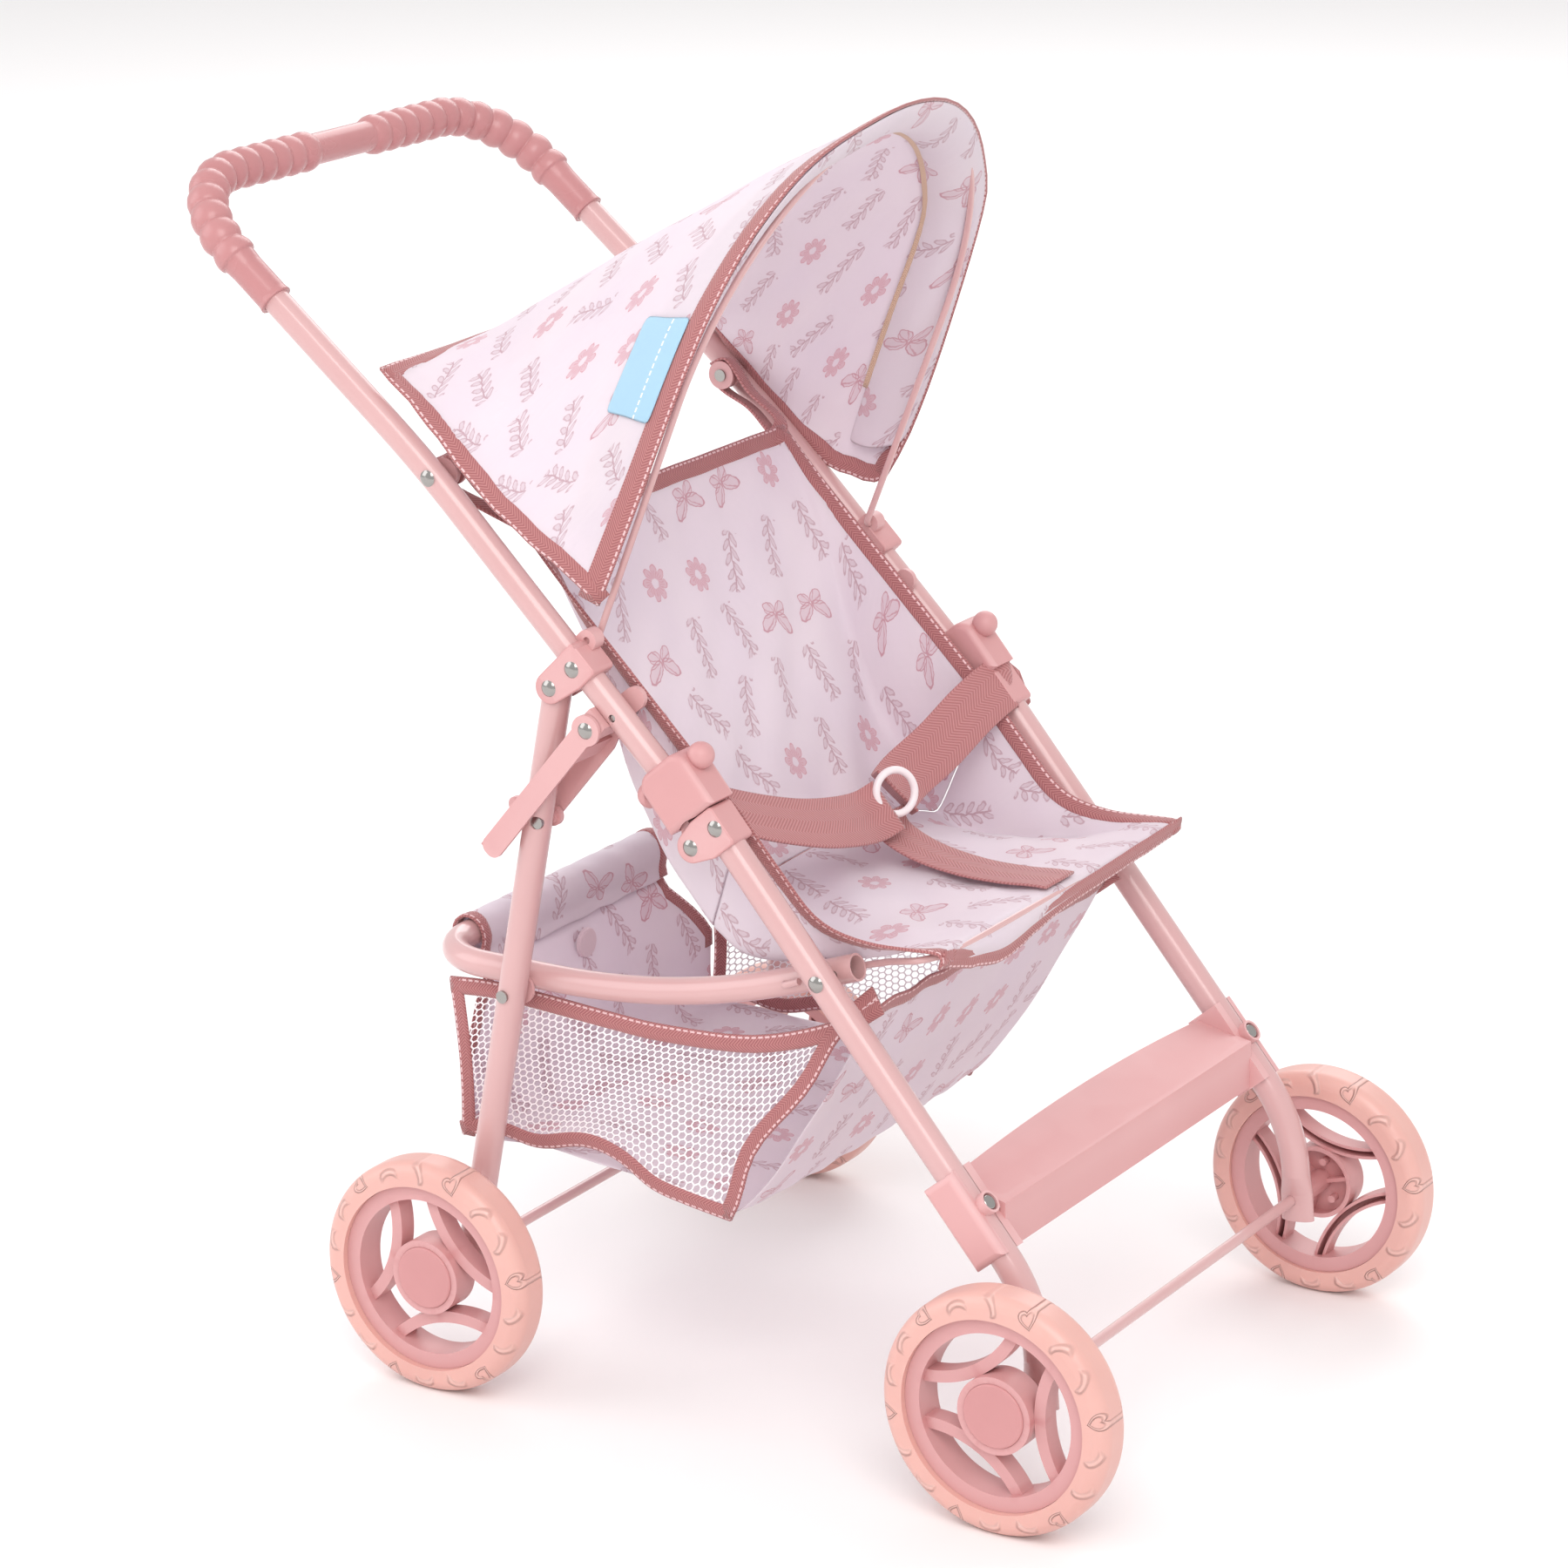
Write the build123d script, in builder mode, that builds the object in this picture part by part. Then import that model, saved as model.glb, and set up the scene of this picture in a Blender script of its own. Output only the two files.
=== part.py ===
from build123d import *
from math import cos, radians, sin
import os

os.makedirs("parts", exist_ok=True)

# A folding stroller for dolls. Millimetres, +X forward, +Y to the left, the floor is Z = 0.
# The origin is on the floor, in the middle of the whole object.

# Driving dimensions
overall_length = 488.6
wheel_radius = 53.0
wheel_base = 284.6
wheel_mid_y = 147.5
wheel_width = 20.0
rim_radius = 42.3  # where the tyre sits on the rim
hub_radius = 17.0
cap_radius = 14.0
tube_y = 118.5  # middle plane of the legs and of the handle's two sides
frame_y = 104.5  # middle plane of the basket frame's two sides
upper_radius = 6.0
lower_radius = 6.5
leg_radius = 6.25
frame_radius = 6.0
tube_wall = 1.0
axle_radius = 2.5
wire_radius = 1.5
rivet_shank = 1.6
rivet_head = 3.6
running_gap = 0.08  # radial clearance of a pin in its hole
cheek = 7.65  # half the width of the folding brackets, across the tube
lever_gap = 9.25  # half the gap between the two plates of a lock lever
lever_plate = 1.8
cloth = 2.0  # thickness of a fabric panel
belt_width = 25.0
sides = ((-1, "right"), (1, "left"))

# angle of the first bent spoke of each wheel above the horizontal, seen from the right
spoke_turn = {"front_right": 2.0, "front_left": 76.0, "rear_right": 44.0, "rear_left": 20.0}

# Side view: x from the front axle, height from the floor
front_x = overall_length / 2 - wheel_radius


def at(x, z):
    return Vector(front_x + x, 0, z)


front_axle_point = at(0, wheel_radius)
rear_axle_point = at(-wheel_base, wheel_radius)
fold_pivot = at(-161.8, 261.2)
leg_pivot = at(-231.4, 320.2)
lever_pivot = at(-211.1, 305.5)
band_rivet = at(-219.6, 330.0)
lower_band_rivet = at(-149.6, 271.5)
frame_pivot = at(-101.9, 211.4)
frame_rear_joint = at(-260.4, 177.7)
boss_rivet = at(-291.9, 403.0)
mount_screw = at(-200.9, 311.1)
leg_screw = at(-241.0, 259.0)
hoop_hole = at(-126.0, 202.9)
hoop_pivot = at(-217.3, 341.0)
footrest_rivet = at(-26.5, 126.2)

upper_slope = 45.0  # of the handle's sides above the fold, in degrees below the horizontal
grip_slope = 39.7  # of the handle above its slight bend
lower_slope = 50.0  # of the front legs
leg_slope = 78.7  # of the rear legs
hoop_lean = 68.0  # of the canopy hoop, above the horizontal
upper_end = at(-164.7, 274.9)
handle_bend = at(-297.3, 407.5)
handle_top = at(-426.6, 514.7)
grip_start = at(-372.8, 470.0)
sleeve_seat = at(-160.5, 274.1)  # middle of the joint between lock sleeve and lower bracket
leg_bend = at(-16.3, 107.4)


def side_plane(y):
    # local x is +X, local y is +Z
    return Plane.XZ.offset(-y)


def down_plane(origin, slope, y):
    # local x runs down the slope, local y stands up from it
    along = (cos(radians(slope)), 0, -sin(radians(slope)))
    return Plane(origin=(origin.X, y, origin.Z), x_dir=along, z_dir=(0, -1, 0))


def tube_plane(origin, slope, y):
    # square across a tube that runs down the slope
    along = (cos(radians(slope)), 0, -sin(radians(slope)))
    return Plane(origin=(origin.X, y, origin.Z), x_dir=(0, 1, 0), z_dir=along)


def save(piece, name):
    piece.part.label = name
    export_step(piece.part, "parts/" + name + ".step")


def group(pieces):
    with BuildPart() as whole:
        add(pieces)
    return whole


def cross_pin(point, side, outer, inner, radius):
    # a plain pin across a tube, from outer to inner either side of the tube's middle plane
    with BuildPart() as pin:
        with BuildSketch(side_plane(side * (tube_y + outer))):
            with Locations((point.X, point.Z)):
                Circle(radius)
        extrude(amount=side * (outer + inner))
    return pin.part


def drill(point, side, radius=rivet_shank):
    return cross_pin(point, side, 14.0, 25.0, radius + running_gap)


def rivet(point, side, outer, inner):
    # a domed head on the outside, a shank, and a thin round foot on the inside
    def spot(radius, across):
        return (point.X + radius, side * (tube_y + across))

    foot = rivet_shank + 1.2
    with BuildPart() as whole:
        with BuildSketch(Plane.XY.offset(point.Z)):
            with BuildLine():
                Line(spot(0, -inner - 0.9), spot(0, outer + 1.25))
                ThreePointArc(spot(0, outer + 1.25), spot(2.5, outer + 0.8), spot(rivet_head, outer))
                Polyline(
                    spot(rivet_head, outer), spot(rivet_shank, outer), spot(rivet_shank, -inner),
                    spot(foot, -inner), spot(foot, -inner - 0.9), spot(0, -inner - 0.9),
                )
            make_face()
        revolve(axis=Axis((point.X, 0, point.Z), (0, 1, 0)))
    return whole.part


# ------------------------------------------------------------ front frame
bend_radius = 74.0
bend_turn = 36.0
lower_straight = 218.0
lower_leg_top = Vector(
    leg_bend.X - lower_straight * cos(radians(lower_slope)),
    0,
    leg_bend.Z + lower_straight * sin(radians(lower_slope)),
)


def lower_leg(side):
    y = side * tube_y
    steep = lower_slope + bend_turn
    with BuildPart() as leg:
        with BuildLine(side_plane(y)):
            Line((lower_leg_top.X, lower_leg_top.Z), (leg_bend.X, leg_bend.Z))
            curve = JernArc(
                (leg_bend.X, leg_bend.Z),
                (cos(radians(lower_slope)), -sin(radians(lower_slope))),
                bend_radius,
                -bend_turn,
            )
        with BuildSketch(tube_plane(lower_leg_top, lower_slope, y)):
            Circle(lower_radius)
            Circle(lower_radius - tube_wall, mode=Mode.SUBTRACT)
        sweep()
        # the squashed end that carries the axle
        end = tube_plane(curve @ 1, steep, y)
        with BuildSketch(end):
            Circle(lower_radius)
        with BuildSketch(end.offset(9.0)):
            Ellipse(3.6, 7.9)
        loft()
        with BuildSketch(end.offset(9.0)):
            Ellipse(3.6, 7.9)
        extrude(amount=12.5)
        add(cross_pin(front_axle_point, side, 14, 14, axle_radius + running_gap), mode=Mode.SUBTRACT)
        for hole in (lower_band_rivet, frame_pivot):
            add(drill(hole, side), mode=Mode.SUBTRACT)
    return leg


def axle(point, name):
    # a rod right across, with a clearance end inside each hub
    with BuildPart() as rod:
        with BuildSketch(side_plane(wheel_mid_y + 5.0)):
            with Locations((point.X, point.Z)):
                Circle(axle_radius)
        extrude(amount=2 * (wheel_mid_y + 5.0))
    save(rod, name)


def lower_bracket(side):
    # wraps the top of a front leg, and its two cheeks reach back to the fold pivot
    place = down_plane(sleeve_seat, lower_slope, side * tube_y)
    pivot = place.to_local_coords(Vector(fold_pivot.X, side * tube_y, fold_pivot.Z))
    tube = place.to_local_coords(Vector(leg_bend.X, side * tube_y, leg_bend.Z))
    with BuildPart() as bracket:
        with BuildSketch(place):
            with Locations((pivot.X, pivot.Y)):
                Circle(6.7)
            with Locations((9.5, 3.7)):
                RectangleRounded(18.4, 14.8, 2.0)
            make_hull()
        extrude(amount=cheek, both=True)
        fillet(bracket.faces().sort_by(Axis.Y)[0].edges(), 0.8)
        fillet(bracket.faces().sort_by(Axis.Y)[-1].edges(), 0.8)
        with BuildSketch(tube_plane(lower_leg_top, lower_slope, side * tube_y).offset(-30)):
            Circle(lower_radius + running_gap)
        extrude(amount=90, mode=Mode.SUBTRACT)
        with BuildSketch(place):
            with Locations((10.0, tube.Y - lower_radius - 10.4)):
                Rectangle(40.0, 20.0)
        extrude(amount=lower_radius + 0.15, both=True, mode=Mode.SUBTRACT)
        for hole in (fold_pivot, lower_band_rivet):
            add(drill(hole, side), mode=Mode.SUBTRACT)
    return bracket


def footrest():
    # a creased plate between two sockets that the front legs pass through
    half_span = tube_y - 7.0

    crease = at(-19.4, 127.0)
    hem = at(-19.0, 105.5)
    with BuildPart() as rest:
        for y, crown in ((-half_span, 0.0), (0.0, 5.0), (half_span, 0.0)):
            # an upper facet that leans back, and a lower facet that hangs from the crease
            back = at(-45.4, 132.6 + crown)
            with BuildSketch(side_plane(y)):
                with BuildLine():
                    Polyline(
                        (back.X, back.Z), (crease.X, crease.Z), (hem.X, hem.Z), (hem.X - 2.2, hem.Z),
                        (crease.X - 2.4, crease.Z - 2.2), (back.X, back.Z - 2.2), (back.X, back.Z),
                    )
                make_face()
        loft()
        for side in (-1, 1):
            socket = down_plane(at(-31.0, 120.6), lower_slope, side * tube_y)
            with BuildSketch(socket):
                Rectangle(40.0, 17.0)
            extrude(amount=8.4, both=True)
            fillet(rest.faces().filter_by(Axis.Y).sort_by(Axis.Y)[-1 if side > 0 else 0].edges(), 3.0)
            place = down_plane(footrest_rivet, lower_slope, side * tube_y)
            front = Plane(origin=place.origin, x_dir=(0, 1, 0), z_dir=place.y_dir)
            with BuildSketch(front):
                Circle(5.0)
            extrude(amount=5.4)
            with BuildSketch(front.offset(3.6)):
                Circle(3.9)
            extrude(amount=4.0, mode=Mode.SUBTRACT)
            with BuildSketch(tube_plane(lower_leg_top, lower_slope, side * tube_y).offset(160)):
                Circle(lower_radius + 0.1)
            extrude(amount=80, mode=Mode.SUBTRACT)
    return rest


def footrest_rivet_piece(side):
    # a domed head that sits inside the ring on the socket's front
    place = down_plane(footrest_rivet, lower_slope, side * tube_y)
    front = Plane(origin=place.origin, x_dir=(0, 1, 0), z_dir=place.y_dir)
    with BuildPart() as rivet_head_piece:
        with BuildSketch(front.offset(3.65)):
            Circle(3.5)
        extrude(amount=1.6)
        fillet(rivet_head_piece.edges().sort_by(front_axis(front))[-1], 1.2)
    return rivet_head_piece.part


def front_axis(plane):
    return Axis(plane.origin, plane.z_dir)


# ------------------------------------------------------------ handle
def handle_tube():
    with BuildPart() as tube:
        right = [Vector(p.X, -tube_y, p.Z) for p in (upper_end, handle_bend, handle_top)]
        left = [Vector(p.X, tube_y, p.Z) for p in (handle_top, handle_bend, upper_end)]
        with BuildLine():
            FilletPolyline(*right, *left, radius=(560.0, 42.0, 42.0, 560.0))
        with BuildSketch(tube_plane(upper_end, upper_slope, -tube_y)):
            Circle(upper_radius)
            Circle(upper_radius - tube_wall, mode=Mode.SUBTRACT)
        sweep()
        for side in (-1, 1):
            for hole in (band_rivet, boss_rivet, mount_screw):
                add(drill(hole, side), mode=Mode.SUBTRACT)
    return tube


def grip_rod(corners, radius):
    # a solid rod along the handle, through its rounded corners
    with BuildPart() as rod:
        with BuildLine():
            FilletPolyline(*corners, radius=42.0)
        with BuildSketch(Plane(origin=corners[0], z_dir=corners[1] - corners[0])):
            Circle(radius)
        sweep()
    return rod.part


def handle_grip():
    # a soft sleeve over the handle: a cuff at each end, ribs round the corners, a plain middle
    uphill = Vector(-cos(radians(grip_slope)), 0, sin(radians(grip_slope)))

    def route(start, middle_y):
        near = [start - Vector(0, tube_y, 0), handle_top - Vector(0, tube_y, 0)]
        return near + [Vector(handle_top.X, -middle_y, handle_top.Z)]

    def across(start):
        near = [start - Vector(0, tube_y, 0), handle_top - Vector(0, tube_y, 0)]
        return near + [Vector(p.X, tube_y, p.Z) for p in reversed(near)]

    with BuildPart() as grip:
        add(grip_rod(across(grip_start), 7.2))
        ribbed = grip_rod(route(grip_start + uphill * 25.0, 14.0), 9.0)
        add(ribbed)
        add(mirror(ribbed, about=Plane.XZ, mode=Mode.PRIVATE))
        add(grip_rod(across(grip_start - uphill * 2.0), upper_radius + 0.1), mode=Mode.SUBTRACT)
    return grip


def hinge_plug(side):
    # plugs the handle's lower end and reaches down to the fold pivot
    y = side * tube_y
    place = down_plane(sleeve_seat, lower_slope, y)
    pivot = place.to_local_coords(Vector(fold_pivot.X, y, fold_pivot.Z))
    mouth = tube_plane(upper_end, upper_slope, y)
    with BuildPart() as plug:
        with BuildSketch(mouth.offset(-14.0)):
            Circle(upper_radius - tube_wall - running_gap)
        extrude(amount=14.0)
        with BuildSketch(mouth):
            Circle(upper_radius)
        extrude(amount=2.4)
        with BuildSketch(place):
            with Locations((pivot.X, pivot.Y)):
                Circle(5.2)
            with Locations((0.0, -6.2)):
                Rectangle(2.6, 4.0)
            make_hull()
        extrude(amount=5.4, both=True)
        add(drill(fold_pivot, side), mode=Mode.SUBTRACT)
    return plug


def upper_bracket(side):
    # a band round the handle whose two cheeks hold the top of a rear leg
    y = side * tube_y
    place = down_plane(band_rivet, upper_slope, y)
    pivot = place.to_local_coords(Vector(leg_pivot.X, y, leg_pivot.Z))
    clip = place.to_local_coords(Vector(hoop_pivot.X, y, hoop_pivot.Z))
    with BuildPart() as bracket:
        with BuildSketch(place):
            with Locations((pivot.X, pivot.Y)):
                Circle(6.9)
            with Locations((0.0, 2.0)):
                RectangleRounded(16.5, 13.0, 2.0)
            make_hull()
        extrude(amount=cheek, both=True)
        fillet(bracket.faces().sort_by(Axis.Y)[0].edges(), 0.8)
        fillet(bracket.faces().sort_by(Axis.Y)[-1].edges(), 0.8)
        # the inner ear that carries the end of the canopy hoop
        ear_inner = tube_y - 4.0
        ear_width = 3.3
        with BuildSketch(down_plane(band_rivet, upper_slope, side * ear_inner)):
            with Locations((clip.X, clip.Y)):
                Circle(4.6)
            with Locations((clip.X, clip.Y - 6.0)):
                Rectangle(9.2, 6.0)
            make_hull()
        extrude(amount=ear_width, both=True)
        with BuildSketch(tube_plane(upper_end, upper_slope, y).offset(-110)):
            Circle(upper_radius + running_gap)
        extrude(amount=70, mode=Mode.SUBTRACT)
        with BuildSketch(place):
            with Locations((0.0, -6.4 - 12.0)):
                Rectangle(50.0, 24.0)
        extrude(amount=leg_radius + 0.12, both=True, mode=Mode.SUBTRACT)
        for hole in (band_rivet, leg_pivot):
            add(drill(hole, side), mode=Mode.SUBTRACT)
        add(cross_pin(hoop_pivot, side, 14.0, 14.0, wire_radius + running_gap), mode=Mode.SUBTRACT)
    return bracket


def lever_mount(side):
    # a saddle behind the handle: a nose for the lever's pin, and a round ear on the inner side
    y = side * tube_y
    place = down_plane(band_rivet, upper_slope, y)
    nose = place.to_local_coords(Vector(lever_pivot.X, y, lever_pivot.Z))
    with BuildPart() as mount:
        with BuildSketch(place):
            with Locations((nose.X, nose.Y)):
                Circle(5.4)
            with Locations((22.8, -5.5)):
                Rectangle(10.5, 3.0)
            make_hull()
        extrude(amount=8.9, both=True)
        inner = down_plane(band_rivet, upper_slope, side * (tube_y - 7.6))
        with BuildSketch(inner):
            with Locations((nose.X, -4.0)):
                Circle(5.0)
            with Locations((24.5, 6.5)):
                Circle(5.0)
            make_hull()
        extrude(amount=1.3, both=True)
        with BuildSketch(tube_plane(upper_end, upper_slope, y).offset(-75)):
            Circle(upper_radius + running_gap)
        extrude(amount=90, mode=Mode.SUBTRACT)
        for hole in (lever_pivot, mount_screw):
            add(drill(hole, side), mode=Mode.SUBTRACT)
    return mount


def seat_boss(side):
    # a round peg on the inner side of the handle, which the seat's top corner hangs from
    with BuildPart() as boss:
        with BuildSketch(side_plane(side * (tube_y - upper_radius - 0.05))):
            with Locations((boss_rivet.X, boss_rivet.Z)):
                Circle(6.5)
        extrude(amount=side * 3.0)
        with BuildSketch(side_plane(side * (tube_y - upper_radius - 3.05))):
            with Locations((boss_rivet.X, boss_rivet.Z)):
                Circle(4.6)
        extrude(amount=side * 3.5)
        with BuildSketch(side_plane(side * (tube_y - upper_radius - 6.55))):
            with Locations((boss_rivet.X, boss_rivet.Z)):
                Circle(6.5)
        extrude(amount=side * 1.6)
        add(drill(boss_rivet, side), mode=Mode.SUBTRACT)
    return boss.part


# ------------------------------------------------------------ fold lock
def lock_sleeve(side):
    # a sliding sleeve shaped like a bear's head, with two round ears
    y = side * tube_y
    place = down_plane(sleeve_seat, lower_slope, y)
    length, half_width, half_depth = 27.0, 13.8, 9.5
    with BuildPart() as sleeve:
        with BuildSketch(place) as outline:
            with Locations((-length / 2, 0.0)):
                Rectangle(length, 2 * half_width)
            fillet(outline.vertices().sort_by(Axis.X)[:2], 7.0)
        extrude(amount=half_depth, both=True)
        fillet(sleeve.faces().sort_by(Axis.Y)[0].edges(), 3.0)
        fillet(sleeve.faces().sort_by(Axis.Y)[-1].edges(), 3.0)
        for ear in (-1, 1):
            spot = place.from_local_coords((-19.8, ear * 16.4, 0))
            with Locations(spot):
                Sphere(5.8)
        with BuildSketch(tube_plane(upper_end, upper_slope, y).offset(-60)):
            Circle(upper_radius + 0.25)
        extrude(amount=80, mode=Mode.SUBTRACT)
        with BuildSketch(Plane(origin=place.from_local_coords((0, -3.5, 0)), z_dir=-place.x_dir)):
            Circle(8.6)
        extrude(amount=7.0, mode=Mode.SUBTRACT)
    return sleeve


def lock_lever(side):
    # two plates either side of a rear leg, joined at the pivot end and behind the leg at the tip
    y = side * tube_y
    slope = 130.0
    outer = side * (tube_y + lever_gap)
    inner = side * (tube_y - lever_gap)
    with BuildPart() as lever:
        with BuildSketch(down_plane(lever_pivot, slope, outer)):
            Circle(6.8)
            with Locations((38.0, 0.0)):
                RectangleRounded(86.0, 10.0, 4.4)
        extrude(amount=-side * lever_plate)
        with BuildSketch(down_plane(lever_pivot, slope, inner)):
            Circle(6.8)
            with BuildLine():
                Polyline((0, -5.0), (70, -5.0), (70, 4.0), (64, 8.5), (10, 8.5), (0, 6.0), (0, -5.0))
            make_face()
        extrude(amount=side * lever_plate)
        middle = outer + side * lever_plate / 2
        with BuildSketch(down_plane(lever_pivot, slope, middle)):
            with Locations((11.0, 4.3)):
                Rectangle(10.0, 1.6)
        extrude(amount=side * (2 * lever_gap + lever_plate))
        with BuildSketch(down_plane(lever_pivot, slope, middle)):
            with BuildLine():
                Polyline((70, -5), (80.5, -5), (80.5, 0.5), (78.5, 0.5), (78.5, -3.2), (70, -3.2), (70, -5))
            make_face()
        extrude(amount=side * (lever_gap + lever_plate / 2 + 5.9))
        add(drill(lever_pivot, side), mode=Mode.SUBTRACT)
    return lever


# ------------------------------------------------------------ rear legs
leg_top = Vector(leg_pivot.X + 5.0 * cos(radians(leg_slope)), 0, leg_pivot.Z + 5.0 * sin(radians(leg_slope)))


def rear_leg(side):
    y = side * tube_y
    slope = 180.0 - leg_slope
    long = 5.0 + (leg_pivot - rear_axle_point).length
    with BuildPart() as leg:
        start = tube_plane(leg_top, slope, y)
        with BuildSketch(start):
            Circle(leg_radius)
            Circle(leg_radius - tube_wall, mode=Mode.SUBTRACT)
        extrude(amount=long - 22.0)
        with BuildSketch(start.offset(long - 22.0)):
            Circle(leg_radius)
        with BuildSketch(start.offset(long - 11.0)):
            Ellipse(3.6, 7.6)
        loft()
        with BuildSketch(start.offset(long - 11.0)):
            Ellipse(3.6, 7.6)
        extrude(amount=20.0)
        add(cross_pin(rear_axle_point, side, 14, 14, axle_radius + running_gap), mode=Mode.SUBTRACT)
        add(drill(leg_pivot, side), mode=Mode.SUBTRACT)
        add(drill(frame_rear_joint, side), mode=Mode.SUBTRACT)
        add(drill(leg_screw, side, 1.4), mode=Mode.SUBTRACT)
        add(cross_pin(leg_screw, side, 14, -3.5, 2.9), mode=Mode.SUBTRACT)
    return leg


def leg_catch(side):
    # a flat hook on the inner side of a rear leg that the lock lever snaps past
    with BuildPart() as catch:
        with BuildSketch(side_plane(side * (tube_y - leg_radius - 0.1))):
            with Locations((leg_screw.X, leg_screw.Z)):
                Circle(4.5)
            with Locations((front_x - 260.0, 261.0)):
                Circle(3.5)
            make_hull()
        extrude(amount=side * 2.6)
        with BuildSketch(side_plane(side * (tube_y - 4.0))):
            with Locations((leg_screw.X, leg_screw.Z)):
                Circle(3.2)
        extrude(amount=side * 3.5)
        with BuildSketch(tube_plane(leg_top, 180.0 - leg_slope, side * tube_y)):
            Circle(leg_radius + 0.05)
        extrude(amount=120, mode=Mode.SUBTRACT)
        add(cross_pin(leg_screw, side, 14, 14, 1.2 + running_gap), mode=Mode.SUBTRACT)
    return catch


def screw(point, side, head_from, head_to, tip, radius=1.2):
    # a round head between two offsets from the tube's middle plane, and a shank to the tip
    with BuildPart() as whole:
        with BuildSketch(side_plane(side * (tube_y + head_from))):
            with Locations((point.X, point.Z)):
                Circle(2.8)
        extrude(amount=side * (head_from - head_to))
        with BuildSketch(side_plane(side * (tube_y + head_from))):
            with Locations((point.X, point.Z)):
                Circle(radius)
        extrude(amount=side * (head_from - tip))
    return whole.part


# ------------------------------------------------------------ basket frame
def basket_frame_tube():
    # a flat loop, its two front ends raised to the pivots on the front legs
    front_end = at(-94.0, 214.4)
    knee = at(-182.2, 182.3)
    back = at(-314.0, 182.3)
    side_view = (front_end, knee, back)
    with BuildPart() as tube:
        with BuildLine():
            FilletPolyline(
                *[Vector(p.X, -frame_y, p.Z) for p in side_view],
                *[Vector(p.X, frame_y, p.Z) for p in reversed(side_view)],
                radius=(370.0, 30.0, 30.0, 370.0),
            )
        with BuildSketch(tube_plane(front_end, 160.0, -frame_y)):
            Circle(frame_radius)
            Circle(frame_radius - tube_wall, mode=Mode.SUBTRACT)
        sweep()
        for side in (-1, 1):
            add(drill(frame_pivot, side), mode=Mode.SUBTRACT)
            add(cross_pin(hoop_hole, side, 0.0, 25.0, wire_radius + running_gap), mode=Mode.SUBTRACT)
    return tube


def seat_hoop():
    # a wire round the front of the seat, its two ends hooked through the basket frame
    nose = at(-55.0, 224.5)
    elbow = at(-84.0, 215.7)
    tip = at(-118.0, 206.0)
    outside = frame_y + frame_radius + wire_radius + 0.1
    inside = frame_y - frame_radius - wire_radius - 2.0
    half = (
        Vector(tip.X, outside, tip.Z),
        Vector(hoop_hole.X, outside, hoop_hole.Z),
        Vector(hoop_hole.X, inside, hoop_hole.Z),
        Vector(elbow.X, inside, elbow.Z),
        Vector(nose.X, 106.0, nose.Z),
    )
    with BuildPart() as hoop:
        with BuildLine() as path:
            FilletPolyline(
                *[Vector(p.X, -p.Y, p.Z) for p in half], *reversed(half),
                radius=(1.9, 1.9, 12.0, 12.0, 12.0, 12.0, 1.9, 1.9),
            )
        with BuildSketch(Plane(origin=path.line @ 0, z_dir=path.line % 0)):
            Circle(wire_radius)
        sweep()
    return hoop


def frame_spacer(side):
    # a washer between a rear leg and the basket frame
    with BuildPart() as washer:
        with BuildSketch(side_plane(side * (tube_y - leg_radius - 0.1))):
            with Locations((frame_rear_joint.X, frame_rear_joint.Z)):
                Circle(7.0)
                Circle(rivet_shank + running_gap, mode=Mode.SUBTRACT)
        extrude(amount=side * 1.6)
    return washer.part


# ------------------------------------------------------------ wheels
def tyre(centre, side):
    shoulder = 6.0
    with BuildPart() as ring:
        with BuildSketch(Plane.YZ.offset(centre.X)):
            with Locations((side * wheel_mid_y, centre.Z + (rim_radius + wheel_radius) / 2)):
                Rectangle(wheel_width, wheel_radius - rim_radius)
        revolve(axis=Axis((centre.X, 0, centre.Z), (0, 1, 0)))
        outer = ring.edges().filter_by(GeomType.CIRCLE).group_by(SortBy.RADIUS)[-1]
        fillet(outer, shoulder)
    return ring


def wheel_ring(centre, side, y_from, y_to, outer, inner=0.0):
    with BuildPart() as ring:
        with BuildSketch(side_plane(side * y_from)):
            with Locations((centre.X, centre.Z)):
                Circle(outer)
                if inner:
                    Circle(inner, mode=Mode.SUBTRACT)
        extrude(amount=side * (y_from - y_to))
    return ring.part


def wheel_spokes(centre, side, turn, y_from, y_to, width):
    # three bent arms, each touching the hub at its middle and the rim at both ends
    reach = 38.0
    bend = ThreePointArc(
        (reach * cos(radians(44)), reach * sin(radians(44))),
        (19.5, 0),
        (reach * cos(radians(44)), -reach * sin(radians(44))),
    )
    with BuildPart() as arms:
        with BuildSketch(side_plane(side * y_from)):
            with Locations((centre.X, centre.Z)):
                with PolarLocations(0, 3, start_angle=turn):
                    SlotArc(bend, width)
        extrude(amount=side * (y_from - y_to))
    return arms.part


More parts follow.
